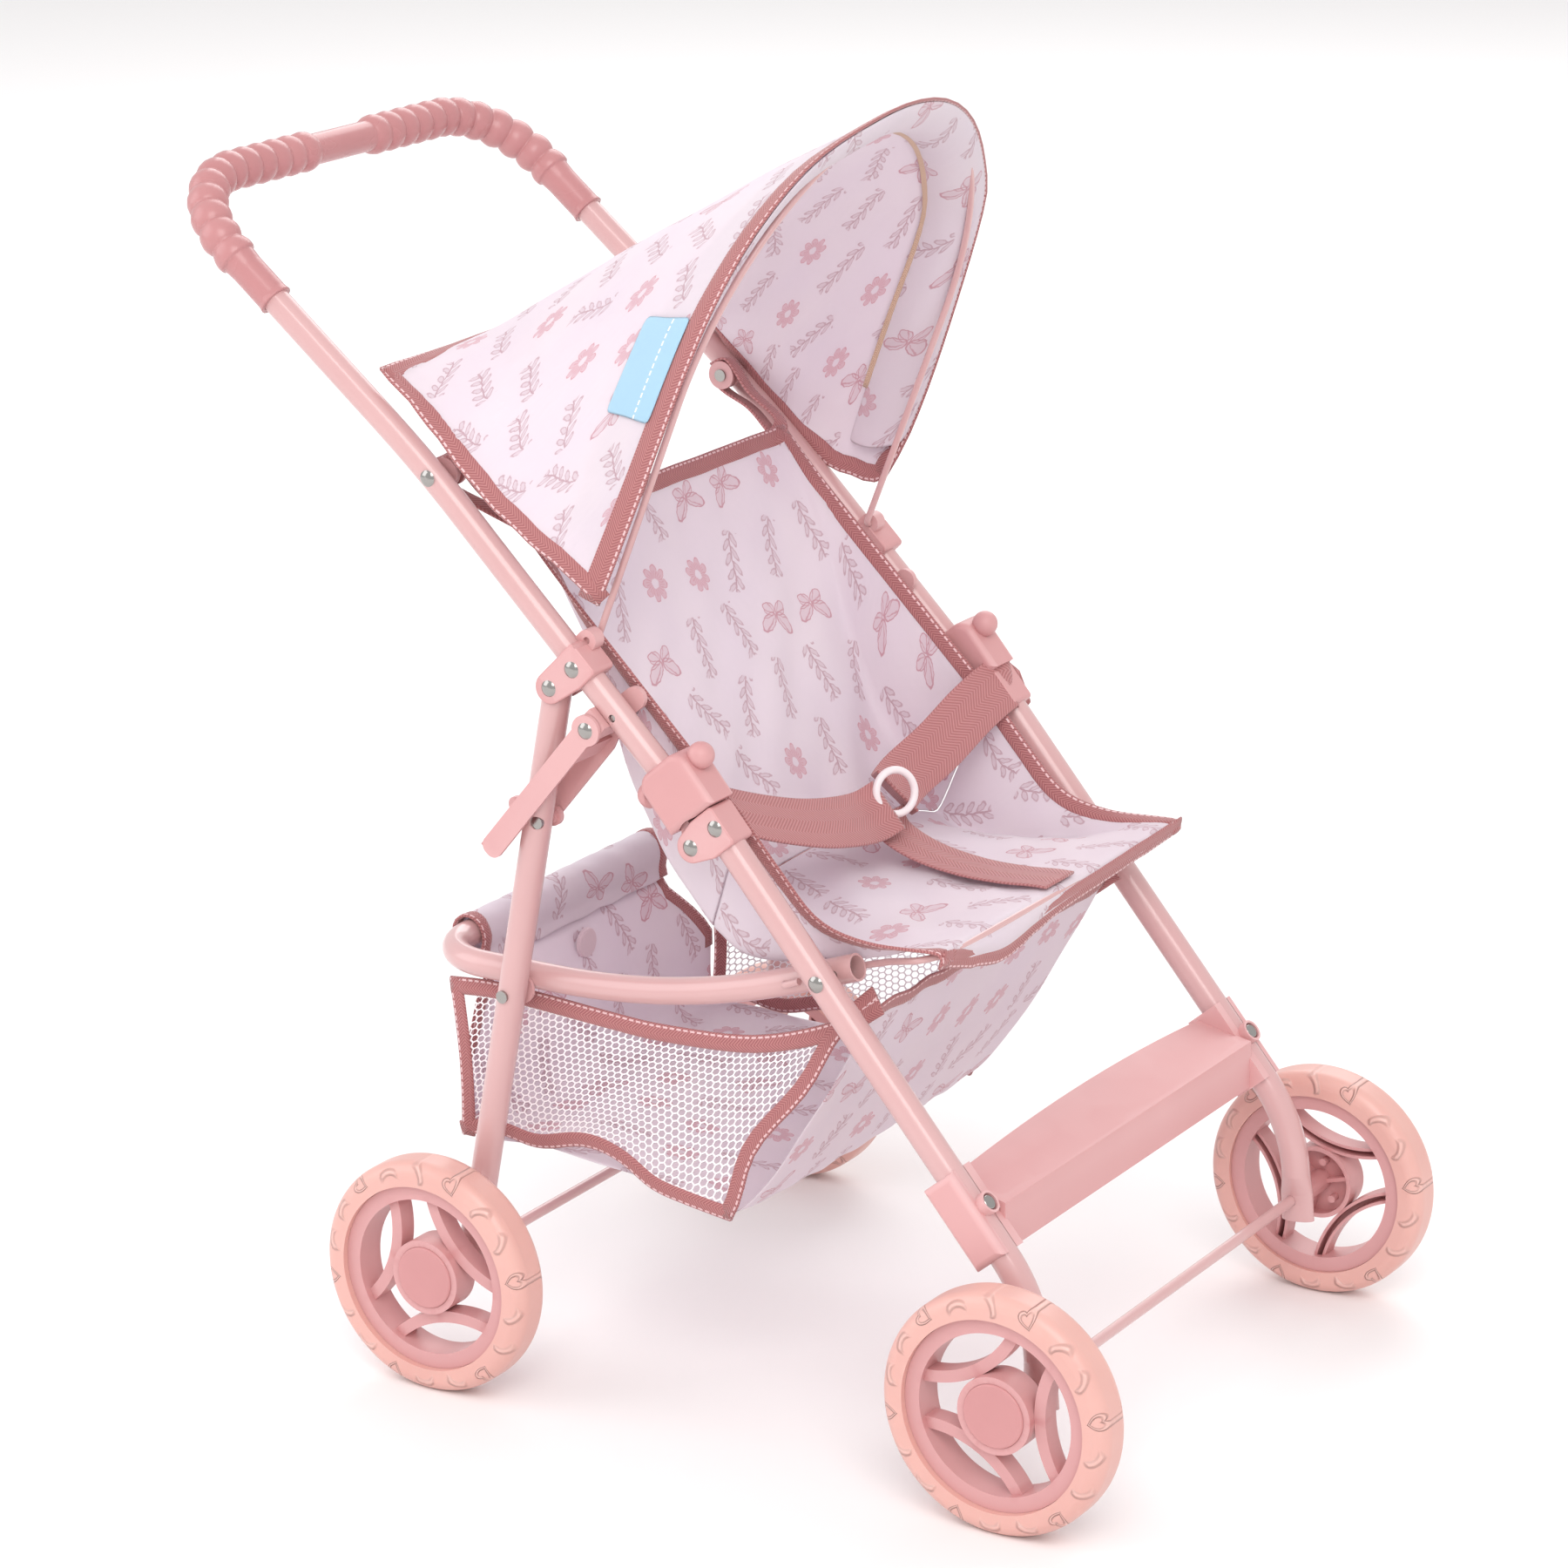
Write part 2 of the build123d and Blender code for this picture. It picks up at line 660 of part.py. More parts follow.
def wheel(centre, side, turn):
    # a moulded wheel: a rim, three bent spokes at the angle turn, and an open hub
    face = wheel_mid_y + 7.0
    web = wheel_mid_y - 1.0
    back = wheel_mid_y - 8.0
    with BuildPart() as whole:
        add(wheel_ring(centre, side, face, back, rim_radius - 0.1, 35.5))
        add(wheel_spokes(centre, side, turn, face - 3.0, back + 3.0, 5.2))
        add(wheel_spokes(centre, side, turn, face - 5.0, back + 3.0, 2.4), mode=Mode.SUBTRACT)
        add(wheel_ring(centre, side, face + 0.8, back + 2.0, hub_radius))
        add(wheel_ring(centre, side, face + 0.8, face - 1.2, cap_radius + 0.1), mode=Mode.SUBTRACT)
        add(wheel_ring(centre, side, face - 1.2, face - 6.0, 9.5), mode=Mode.SUBTRACT)
        add(wheel_ring(centre, side, web, back + 2.0, hub_radius - 2.0, 5.0), mode=Mode.SUBTRACT)
        add(wheel_ring(centre, side, web, web - 18.3, 5.0))
        with BuildSketch(side_plane(side * web)):
            with Locations((centre.X, centre.Z)):
                with PolarLocations(10.2, 3, start_angle=turn + 60):
                    Rectangle(11.0, 1.8)
                with PolarLocations(10.2, 3, start_angle=turn):
                    Circle(1.7)
        extrude(amount=side * 4.4)
        add(wheel_ring(centre, side, face, web - 20.0, axle_radius + running_gap), mode=Mode.SUBTRACT)
    return whole


def hub_cap(centre, side):
    # a disc that closes the hub, with a skirt behind it
    face = wheel_mid_y + 8.7
    with BuildPart() as cap:
        with BuildSketch(side_plane(side * face)):
            with Locations((centre.X, centre.Z)):
                Circle(cap_radius)
        extrude(amount=side * 2.6)
        with BuildSketch(side_plane(side * (face - 2.6))):
            with Locations((centre.X, centre.Z)):
                Circle(9.3)
                Circle(7.8, mode=Mode.SUBTRACT)
        extrude(amount=side * 2.0)
        rim = cap.edges().filter_by(GeomType.CIRCLE).sort_by(Axis.Y)
        fillet(rim[-1 if side > 0 else 0], 0.9)
    return cap


def push_nut(centre, side):
    # a toothed cap pressed on the end of an axle, inside the hub
    face = wheel_mid_y + 4.6
    with BuildPart() as nut:
        with BuildSketch(side_plane(side * face)):
            with Locations((centre.X, centre.Z)):
                Circle(6.0)
                Circle(axle_radius + 0.02, mode=Mode.SUBTRACT)
        extrude(amount=side * 1.4)
    return nut.part


# ------------------------------------------------------------ canopy
def hoop_plane(along_edge):
    # the plane of the canopy's arches, moved up along the handle
    foot = at(-209.1 + along_edge.X, 361.4 + along_edge.Z)
    lean = radians(hoop_lean)
    return Plane(origin=foot, x_dir=(0, 1, 0), z_dir=(sin(lean), 0, -cos(lean)))


def canopy_wire():
    lean = radians(hoop_lean)
    place = Plane(origin=hoop_pivot, x_dir=(0, 1, 0), z_dir=(sin(lean), 0, -cos(lean)))
    half_width, shoulder, rise = 108.5, 110.0, 117.0
    pin_end = tube_y - 2.5
    with BuildPart() as wire:
        with BuildLine(place) as path:
            FilletPolyline((-pin_end, 0), (-half_width, 0), (-half_width, shoulder), radius=3.0)
            EllipticalCenterArc((0, shoulder), half_width, rise, start_angle=0, arc_size=180)
            FilletPolyline((half_width, shoulder), (half_width, 0), (pin_end, 0), radius=3.0)
        with BuildSketch(Plane(origin=(hoop_pivot.X, -pin_end, hoop_pivot.Z), z_dir=(0, 1, 0))):
            Circle(wire_radius)
        sweep(path=path.wires()[0])
    return wire


def canopy():
    # a hood from the wire hoop back to a straight rear edge over the handle
    stations = (
        (Vector(-1.8, 0, 0.7), 112.5, 208.5),
        (Vector(-36.0, 0, 26.0), 115.5, 145.0),
        (Vector(-75.0, 0, 56.0), 119.0, 76.0),
        (Vector(-113.0, 0, 80.0), 122.0, 9.0),
    )
    with BuildPart() as hood:
        for shift, half_width, height in stations:
            leg = 0.42 * height
            inner = half_width - cloth
            with BuildSketch(hoop_plane(shift)):
                with BuildLine():
                    Line((half_width, 0), (half_width, leg))
                    EllipticalCenterArc((0, leg), half_width, height - leg, start_angle=0, arc_size=180)
                    Line((-half_width, leg), (-half_width, 0))
                    Line((-half_width, 0), (-inner, 0))
                    Line((-inner, 0), (-inner, leg))
                    EllipticalCenterArc((0, leg), inner, height - leg - cloth, start_angle=0, arc_size=180)
                    Line((inner, leg), (inner, 0))
                    Line((inner, 0), (half_width, 0))
                make_face()
        loft()
    return hood


# ------------------------------------------------------------ seat, basket and belts
def cloth_wall(points, side, half_width):
    # a flat side wall of a fabric part, its inner face at half_width
    with BuildPart() as wall:
        with BuildSketch(side_plane(side * half_width)):
            with BuildLine():
                Polyline(*[(p.X, p.Z) for p in points], close=True)
            make_face()
        extrude(amount=-side * cloth)
    return wall.part


def seat_back():
    lean = (at(-259, 383), at(-242, 345), at(-220, 300), at(-198, 255), at(-180, 231))
    with BuildPart() as back:
        with BuildSketch(side_plane(0)):
            with BuildLine():
                Spline(*[(p.X, p.Z) for p in lean])
            trace(line_width=cloth)
        extrude(amount=104, both=True)
        for side in (-1, 1):
            add(cloth_wall((*lean, at(-153, 267)), side, 102))
    return back


def seat_base():
    with BuildPart() as base:
        with BuildSketch(side_plane(0)):
            with BuildLine():
                Line((front_x - 176, 228), (front_x - 104, 224))
            trace(line_width=cloth)
        extrude(amount=104, both=True)
        with BuildSketch(side_plane(0)):
            with BuildLine():
                Line((front_x - 104.5, 224), (front_x - 63, 222))
            trace(line_width=cloth)
        extrude(amount=95, both=True)
        for side in (-1, 1):
            add(cloth_wall((at(-174, 228), at(-150, 262), at(-115, 224.6)), side, 102))
    return base


def basket():
    # an open-topped bag under the frame, with a sleeve round the frame's rear bar
    outer = (at(-308, 172), at(-298, 100), at(-162, 88), at(-90, 196), at(-108, 184), at(-147, 172))
    inner = (at(-305.8, 172), at(-296, 102), at(-163.2, 90.2), at(-92.2, 197), at(-92, 240), at(-305.8, 240))
    bar = at(-314.0, 182.3)
    with BuildPart() as bag:
        with BuildSketch(side_plane(0)):
            with BuildLine():
                Polyline(*[(p.X, p.Z) for p in outer], close=True)
            make_face()
        extrude(amount=104, both=True)
        with BuildSketch(side_plane(0)):
            with BuildLine():
                Polyline(*[(p.X, p.Z) for p in inner], close=True)
            make_face()
        extrude(amount=104 - cloth, both=True, mode=Mode.SUBTRACT)
        with BuildSketch(side_plane(0)):
            with Locations((bar.X, bar.Z)):
                Circle(frame_radius + 0.4 + cloth)
            with Locations((front_x - 307.0, 172.0)):
                Rectangle(2.4, 12.0)
            with Locations((bar.X, bar.Z)):
                Circle(frame_radius + 0.4, mode=Mode.SUBTRACT)
        extrude(amount=72, both=True)
    return bag


def basket_snap():
    with BuildPart() as snap:
        with BuildSketch(Plane.YZ.offset(front_x - 302.8)):
            with Locations((0, 158.0)):
                Circle(7.0)
        extrude(amount=2.0)
        fillet(snap.edges().sort_by(Axis.X)[-1], 0.8)
    return snap


def lap_belt(side, heights):
    # a strap from a front leg to the ring; heights stand up from the seat's slope
    place = Plane(origin=at(-158, 272), x_dir=(0, 1, 0), z_dir=(cos(radians(50)), 0, -sin(radians(50))))
    with BuildPart() as strap:
        with BuildSketch(place.offset(8.0)):
            with BuildLine():
                Spline(*[(side * y, height) for y, height in heights])
            trace(line_width=1.6)
        extrude(amount=belt_width)
    return strap


def crotch_strap():
    with BuildPart() as strap:
        with BuildSketch(side_plane(0)):
            with BuildLine():
                Spline((front_x - 64, 225.4), (front_x - 105, 228.6), (front_x - 150, 237))
            trace(line_width=1.6)
        extrude(amount=belt_width / 2, both=True)
    return strap


def belt_ring():
    with BuildPart() as ring:
        with Locations(Plane(origin=at(-137.6, 255.5), z_dir=(0.85, -0.45, 0.25))):
            Torus(9.6, 1.7)
    return ring


# ------------------------------------------------------------ all the pieces
for side, hand in sides:
    save(lower_leg(side), "lower_leg_" + hand)
    save(lower_bracket(side), "lower_bracket_" + hand)
    save(hinge_plug(side), "hinge_plug_" + hand)
    save(upper_bracket(side), "upper_bracket_" + hand)
    save(lever_mount(side), "lever_mount_" + hand)
    save(lock_sleeve(side), "lock_sleeve_" + hand)
    save(lock_lever(side), "lock_lever_" + hand)
    save(rear_leg(side), "rear_leg_" + hand)
    save(leg_catch(side), "leg_catch_" + hand)
    for centre, end in ((front_axle_point, "front"), (rear_axle_point, "rear")):
        save(tyre(centre, side), end + "_tyre_" + hand)
        save(wheel(centre, side, spoke_turn[end + "_" + hand]), end + "_wheel_" + hand)
        save(hub_cap(centre, side), end + "_hub_cap_" + hand)

axle(front_axle_point, "front_axle")
axle(rear_axle_point, "rear_axle")
save(footrest(), "footrest")
save(handle_tube(), "handle_tube")
save(handle_grip(), "handle_grip")
save(basket_frame_tube(), "basket_frame_tube")
save(seat_hoop(), "seat_hoop")
save(canopy_wire(), "canopy_wire")
save(canopy(), "canopy")
save(seat_back(), "seat_back")
save(seat_base(), "seat_base")
save(basket(), "basket")
save(basket_snap(), "basket_snap")
save(lap_belt(-1, ((109, 12), (97, 11.4), (60, 4), (14, 2))), "lap_belt_right")
save(lap_belt(1, ((109, 12), (97, 11.4), (66, -4), (40, -9), (14, 2))), "lap_belt_left")
save(crotch_strap(), "crotch_strap")
save(belt_ring(), "belt_ring")

hands = (-1, 1)
lever_outer = lever_gap + lever_plate
band_rivets = [rivet(p, s, cheek, cheek) for s in hands for p in (fold_pivot, lower_band_rivet)]
upper_rivets = [rivet(p, s, cheek, cheek) for s in hands for p in (band_rivet, leg_pivot)]
rear_screws = [screw(frame_rear_joint, s, leg_radius + 1.2, leg_radius, -leg_radius, rivet_shank) for s in hands]
save(group(band_rivets), "lower_bracket_rivets")
save(group(upper_rivets), "upper_bracket_rivets")
save(group([rivet(frame_pivot, s, lower_radius, 20.1) for s in hands]), "frame_pivot_rivets")
save(group([rivet(lever_pivot, s, lever_outer, lever_outer) for s in hands]), "lever_rivets")
save(group([rivet(boss_rivet, s, upper_radius, 14.2) for s in hands]), "boss_rivets")
save(group([seat_boss(s) for s in hands]), "seat_bosses")
save(group(rear_screws), "rear_pivot_rivets")
save(group([screw(leg_screw, s, 5.4, 3.6, -8.4) for s in hands]), "catch_screws")
save(group([screw(mount_screw, s, -8.95, -10.4, 5.0) for s in hands]), "mount_screws")
save(group([footrest_rivet_piece(s) for s in hands]), "footrest_rivets")
save(group([frame_spacer(s) for s in hands]), "frame_spacers")
save(group([push_nut(front_axle_point, s) for s in hands]), "front_push_nuts")
save(group([push_nut(rear_axle_point, s) for s in hands]), "rear_push_nuts")
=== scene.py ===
import math
import bpy
from mathutils import Matrix, Vector


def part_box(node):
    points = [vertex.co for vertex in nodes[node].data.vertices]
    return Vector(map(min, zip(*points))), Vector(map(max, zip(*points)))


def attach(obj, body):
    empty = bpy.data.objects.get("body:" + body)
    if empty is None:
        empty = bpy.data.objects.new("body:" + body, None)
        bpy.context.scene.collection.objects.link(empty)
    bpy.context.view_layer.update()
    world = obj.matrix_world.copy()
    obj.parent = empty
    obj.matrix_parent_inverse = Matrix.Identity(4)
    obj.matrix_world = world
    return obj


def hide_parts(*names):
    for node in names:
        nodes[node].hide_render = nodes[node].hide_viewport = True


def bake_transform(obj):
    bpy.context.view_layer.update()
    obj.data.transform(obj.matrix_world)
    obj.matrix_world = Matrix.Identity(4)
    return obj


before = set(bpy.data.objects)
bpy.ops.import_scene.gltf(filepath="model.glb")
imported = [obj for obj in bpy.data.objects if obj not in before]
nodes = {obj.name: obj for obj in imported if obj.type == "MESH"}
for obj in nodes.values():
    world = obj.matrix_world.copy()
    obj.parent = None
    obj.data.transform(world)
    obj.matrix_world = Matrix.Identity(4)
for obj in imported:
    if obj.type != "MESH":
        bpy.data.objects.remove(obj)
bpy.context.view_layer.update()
frontAxleX = (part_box("front_axle")[0].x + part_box("front_axle")[1].x) / 2
print("frame loaded:", len(nodes), "nodes")


def place(x, y, z):
    # millimetres from the front axle and the floor, to metres in the row frame
    return Vector((frontAxleX + x / 1000, y / 1000, z / 1000))


def toLinear(hexColour):
    parts = [int(hexColour[i:i + 2], 16) / 255 for i in (1, 3, 5)]
    return tuple(c / 12.92 if c <= 0.04045 else ((c + 0.055) / 1.055) ** 2.4 for c in parts) + (1.0,)


def addNode(tree, kind, settings=None, links=None):
    # settings go to a socket when the node has one of that name or number, and to the node otherwise
    made = tree.nodes.new(kind)
    for key, value in (settings or {}).items():
        if isinstance(key, str) and key not in made.inputs:
            setattr(made, key, value)
    for key, value in (settings or {}).items():
        if isinstance(key, int) or key in made.inputs:
            made.inputs[key].default_value = value
    for key, source in (links or {}).items():
        tree.links.new(source if isinstance(source, bpy.types.NodeSocket) else source.outputs[0], made.inputs[key])
    return made


def newMaterial(name, settings):
    material = bpy.data.materials.new(name)
    material.use_nodes = True
    tree = material.node_tree
    tree.nodes.clear()
    shader = addNode(tree, "ShaderNodeBsdfPrincipled", settings)
    addNode(tree, "ShaderNodeOutputMaterial", None, {"Surface": shader})
    return material, tree, shader


# ---- hard materials

def glossyPaintedSteel(name, colour):
    # powder-coated steel tube, baked glossy: a faint orange peel breaks up long highlights
    material, tree, shader = newMaterial(name, {"Roughness": 0.3, "IOR": 1.5, "Coat Weight": 0.6, "Coat Roughness": 0.08})
    where = addNode(tree, "ShaderNodeTexCoord")
    peel = addNode(tree, "ShaderNodeTexNoise", {"Scale": 420.0, "Detail": 2.0}, {"Vector": where.outputs["Object"]})
    cloud = addNode(tree, "ShaderNodeTexNoise", {"Scale": 14.0, "Detail": 3.0}, {"Vector": where.outputs["Object"]})
    tint = addNode(tree, "ShaderNodeMix", {"data_type": "RGBA", 6: toLinear(colour["deep"]), 7: toLinear(colour["base"])},
                   {0: cloud})
    bump = addNode(tree, "ShaderNodeBump", {"Strength": 0.06, "Distance": 0.0002}, {"Height": peel})
    tree.links.new(tint.outputs[2], shader.inputs["Base Color"])
    tree.links.new(bump.outputs[0], shader.inputs["Normal"])
    return material


def mouldedPolypropylene(name, colour, roughness=0.42, grain=900.0):
    # injection-moulded PP: satin, slightly translucent, with a fine spark-eroded grain and sharp edges painted paler as
    # a painted highlight
    material, tree, shader = newMaterial(name, {"IOR": 1.49, "Subsurface Weight": 0.03, "Subsurface Radius": (0.004, 0.002, 0.002),
                                                "Subsurface Scale": 1.0})
    where = addNode(tree, "ShaderNodeTexCoord")
    grainNoise = addNode(tree, "ShaderNodeTexNoise", {"Scale": grain, "Detail": 3.0}, {"Vector": where.outputs["Object"]})
    cloud = addNode(tree, "ShaderNodeTexNoise", {"Scale": 22.0, "Detail": 4.0}, {"Vector": where.outputs["Object"]})
    geometry = addNode(tree, "ShaderNodeNewGeometry")
    # painted highlight: convex edges, found by pointiness, are mixed up to 35% towards the pale colour
    edge = addNode(tree, "ShaderNodeMapRange", {"From Min": 0.50, "From Max": 0.60, "To Min": 0.0, "To Max": 0.35},
                   {"Value": geometry.outputs["Pointiness"]})
    tint = addNode(tree, "ShaderNodeMix", {"data_type": "RGBA", 6: toLinear(colour["deep"]), 7: toLinear(colour["base"])}, {0: cloud})
    edgeHighlighted = addNode(tree, "ShaderNodeMix", {"data_type": "RGBA", 7: toLinear(colour["pale"])}, {0: edge, 6: tint.outputs[2]})
    rough = addNode(tree, "ShaderNodeMapRange", {"From Min": 0.3, "From Max": 0.7, "To Min": roughness - 0.05, "To Max": roughness + 0.06},
                    {"Value": cloud})
    bump = addNode(tree, "ShaderNodeBump", {"Strength": 0.12, "Distance": 0.0002}, {"Height": grainNoise})
    tree.links.new(edgeHighlighted.outputs[2], shader.inputs["Base Color"])
    tree.links.new(rough.outputs[0], shader.inputs["Roughness"])
    tree.links.new(bump.outputs[0], shader.inputs["Normal"])
    return material


def nickelPlatedSteel(name):
    # nickel-plated steel, barrel polished: nearly a mirror, with faint tumbling marks
    # painted reflection: the base colour is darker than bare nickel, standing in for dark surroundings that the pale
    # studio does not give to reflect
    material, tree, shader = newMaterial(name, {"Base Color": toLinear("#A5A29F"), "Metallic": 1.0, "Roughness": 0.14})
    where = addNode(tree, "ShaderNodeTexCoord")
    marks = addNode(tree, "ShaderNodeTexNoise", {"Scale": 1500.0, "Detail": 2.0}, {"Vector": where.outputs["Object"]})
    rough = addNode(tree, "ShaderNodeMapRange", {"To Min": 0.09, "To Max": 0.24}, {"Value": marks})
    tree.links.new(rough.outputs[0], shader.inputs["Roughness"])
    return material


def mouldedPvc(name, colour, centreX):
    # soft PVC tyre, moulded: satin, a bit translucent, with shallow embossed crescents and hearts round the shoulder
    material, tree, shader = newMaterial(name, {"IOR": 1.53, "Roughness": 0.36, "Subsurface Weight": 0.06,
                                                "Subsurface Radius": (0.006, 0.003, 0.002), "Subsurface Scale": 1.0})
    where = addNode(tree, "ShaderNodeTexCoord")
    shifted = addNode(tree, "ShaderNodeVectorMath", {"operation": "SUBTRACT", 1: (centreX, 0.0, 0.053)}, {0: where.outputs["Object"]})
    parts = addNode(tree, "ShaderNodeSeparateXYZ", None, {0: shifted})
    angle = addNode(tree, "ShaderNodeMath", {"operation": "ARCTAN2"}, {0: parts.outputs["Z"], 1: parts.outputs["X"]})
    squareX = addNode(tree, "ShaderNodeMath", {"operation": "MULTIPLY"}, {0: parts.outputs["X"], 1: parts.outputs["X"]})
    squareZ = addNode(tree, "ShaderNodeMath", {"operation": "MULTIPLY_ADD"}, {0: parts.outputs["Z"], 1: parts.outputs["Z"], 2: squareX})
    radius = addNode(tree, "ShaderNodeMath", {"operation": "SQRT"}, {0: squareZ})
    # eighteen places round the shoulder, 17 mm apart, each with a crescent or, in every third one, a heart
    placeTurn = addNode(tree, "ShaderNodeMath", {"operation": "MULTIPLY", 1: 18 / math.tau}, {0: angle})
    placeNumber = addNode(tree, "ShaderNodeMath", {"operation": "FLOOR"}, {0: placeTurn})
    placePart = addNode(tree, "ShaderNodeMath", {"operation": "FRACT"}, {0: placeTurn})
    along = addNode(tree, "ShaderNodeMath", {"operation": "MULTIPLY_ADD", 1: math.tau / 18 * 48.6, 2: -math.tau / 36 * 48.6}, {0: placePart})
    outward = addNode(tree, "ShaderNodeMath", {"operation": "MULTIPLY_ADD", 1: 1000.0, 2: -48.8}, {0: radius})
    flatPlace = addNode(tree, "ShaderNodeCombineXYZ", None, {"X": along, "Y": outward})
    luck = addNode(tree, "ShaderNodeTexWhiteNoise", {"noise_dimensions": "1D"}, {"W": placeNumber})
    tilt = addNode(tree, "ShaderNodeMath", {"operation": "MULTIPLY_ADD", 1: 2.2, 2: -1.1}, {0: luck.outputs["Value"]})
    turnedPlace = addNode(tree, "ShaderNodeVectorRotate", {"rotation_type": "Z_AXIS"}, {"Vector": flatPlace, "Angle": tilt})
    crescentFrom = addNode(tree, "ShaderNodeVectorMath", {"operation": "DISTANCE", 1: (0.0, -7.0, 0.0)}, {0: turnedPlace})
    crescentOff = addNode(tree, "ShaderNodeMath", {"operation": "SUBTRACT", 1: 7.4}, {0: crescentFrom.outputs["Value"]})
    crescentAbs = addNode(tree, "ShaderNodeMath", {"operation": "ABSOLUTE"}, {0: crescentOff})
    crescentLine = addNode(tree, "ShaderNodeMapRange", {"interpolation_type": "SMOOTHSTEP", "From Min": 0.3, "From Max": 1.9, "To Min": 1.0, "To Max": 0.0},
                           {"Value": crescentAbs})
    placeParts = addNode(tree, "ShaderNodeSeparateXYZ", None, {0: turnedPlace})
    sideMm = addNode(tree, "ShaderNodeMath", {"operation": "ABSOLUTE"}, {0: placeParts.outputs["X"]})
    crescentEnd = addNode(tree, "ShaderNodeMapRange", {"interpolation_type": "SMOOTHSTEP", "From Min": 3.4, "From Max": 5.6, "To Min": 1.0, "To Max": 0.0},
                          {"Value": sideMm})
    crescent = addNode(tree, "ShaderNodeMath", {"operation": "MULTIPLY"}, {0: crescentLine, 1: crescentEnd})
    # heart: the outline of (y - 0.8 sqrt|x|)^2 + x^2 = 1, 6 mm across
    heartSide = addNode(tree, "ShaderNodeMath", {"operation": "MULTIPLY", 1: 1 / 3.0}, {0: sideMm})
    heartUp = addNode(tree, "ShaderNodeMath", {"operation": "MULTIPLY_ADD", 1: 1 / 3.0, 2: 0.15}, {0: placeParts.outputs["Y"]})
    lift = addNode(tree, "ShaderNodeMath", {"operation": "POWER", 1: 0.6}, {0: heartSide})
    heartY = addNode(tree, "ShaderNodeMath", {"operation": "MULTIPLY_ADD", 1: -0.75}, {0: lift, 2: heartUp})
    heartX2 = addNode(tree, "ShaderNodeMath", {"operation": "MULTIPLY"}, {0: heartSide, 1: heartSide})
    heartR = addNode(tree, "ShaderNodeMath", {"operation": "MULTIPLY_ADD"}, {0: heartY, 1: heartY, 2: heartX2})
    fromLine = addNode(tree, "ShaderNodeMath", {"operation": "SUBTRACT", 1: 1.0}, {0: heartR})
    fromLineAbs = addNode(tree, "ShaderNodeMath", {"operation": "ABSOLUTE"}, {0: fromLine})
    heart = addNode(tree, "ShaderNodeMapRange", {"interpolation_type": "SMOOTHSTEP", "From Min": 0.1, "From Max": 0.6, "To Min": 1.0, "To Max": 0.0},
                    {"Value": fromLineAbs})
    third = addNode(tree, "ShaderNodeMath", {"operation": "FLOORED_MODULO", 1: 3.0}, {0: placeNumber})
    isHeart = addNode(tree, "ShaderNodeMath", {"operation": "LESS_THAN", 1: 0.5}, {0: third})
    both = addNode(tree, "ShaderNodeMix", {"data_type": "FLOAT"}, {0: isHeart, 2: crescent, 3: heart})
    inside = addNode(tree, "ShaderNodeMapRange", {"From Min": 0.0435, "From Max": 0.0445}, {"Value": radius})
    relief = addNode(tree, "ShaderNodeMath", {"operation": "MULTIPLY"}, {0: both, 1: inside})
    # painted highlight: the raised crescents and hearts are mixed 30% towards the pale colour
    reliefHighlight = addNode(tree, "ShaderNodeMath", {"operation": "MULTIPLY", 1: 0.3}, {0: relief})
    cloud = addNode(tree, "ShaderNodeTexNoise", {"Scale": 30.0, "Detail": 4.0}, {"Vector": where.outputs["Object"]})
    tint = addNode(tree, "ShaderNodeMix", {"data_type": "RGBA", 6: toLinear(colour["deep"]), 7: toLinear(colour["base"])}, {0: cloud})
    raised = addNode(tree, "ShaderNodeMix", {"data_type": "RGBA", 7: toLinear(colour["pale"])}, {0: reliefHighlight, 6: tint.outputs[2]})
    bump = addNode(tree, "ShaderNodeBump", {"Strength": 1.0, "Distance": 0.0012}, {"Height": relief})
    tree.links.new(raised.outputs[2], shader.inputs["Base Color"])
    tree.links.new(bump.outputs[0], shader.inputs["Normal"])
    return material


plastics = {
    "fittings": {"base": "#D29C9C", "deep": "#C58D8E", "pale": "#E3BFBF"},
    "wheels": {"base": "#CD9292", "deep": "#BF8283", "pale": "#DDB3B3"},
    "footrest": {"base": "#D9A6A6", "deep": "#CF9797", "pale": "#E6C4C4"},
    "grip": {"base": "#C48A8B", "deep": "#B57B7C", "pale": "#DBAEAE"},
    "tubes": {"base": "#D3AAA9", "deep": "#C99C9C"},
    "tyres": {"base": "#E2B2A8", "deep": "#D6A199", "pale": "#EBC5BC"},
    "white": {"base": "#EFE4E6", "deep": "#E4D6D9", "pale": "#FFFFFF"},
    "snap": {"base": "#DDC6CD", "deep": "#D2B9C1", "pale": "#F0E2E6"},
}
tubePaint = glossyPaintedSteel("powderCoatedSteel", plastics["tubes"])
fittingPlastic = mouldedPolypropylene("mouldedPolypropylene", plastics["fittings"])
wheelPlastic = mouldedPolypropylene("mouldedPolypropyleneWheel", plastics["wheels"], 0.40)
footrestPlastic = mouldedPolypropylene("mouldedPolypropyleneFootrest", plastics["footrest"], 0.5, 300.0)
gripPlastic = mouldedPolypropylene("softPolyethyleneGrip", plastics["grip"], 0.27, 1200.0)
whitePlastic = mouldedPolypropylene("whiteAcetal", plastics["white"], 0.3)
snapPlastic = mouldedPolypropylene("pinkAcetalSnap", plastics["snap"], 0.3)
rivetMetal = nickelPlatedSteel("nickelPlatedSteel")
tyreFront = mouldedPvc("mouldedPvcFront", plastics["tyres"], frontAxleX)
tyreRear = mouldedPvc("mouldedPvcRear", plastics["tyres"], (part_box("rear_axle")[0].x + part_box("rear_axle")[1].x) / 2)


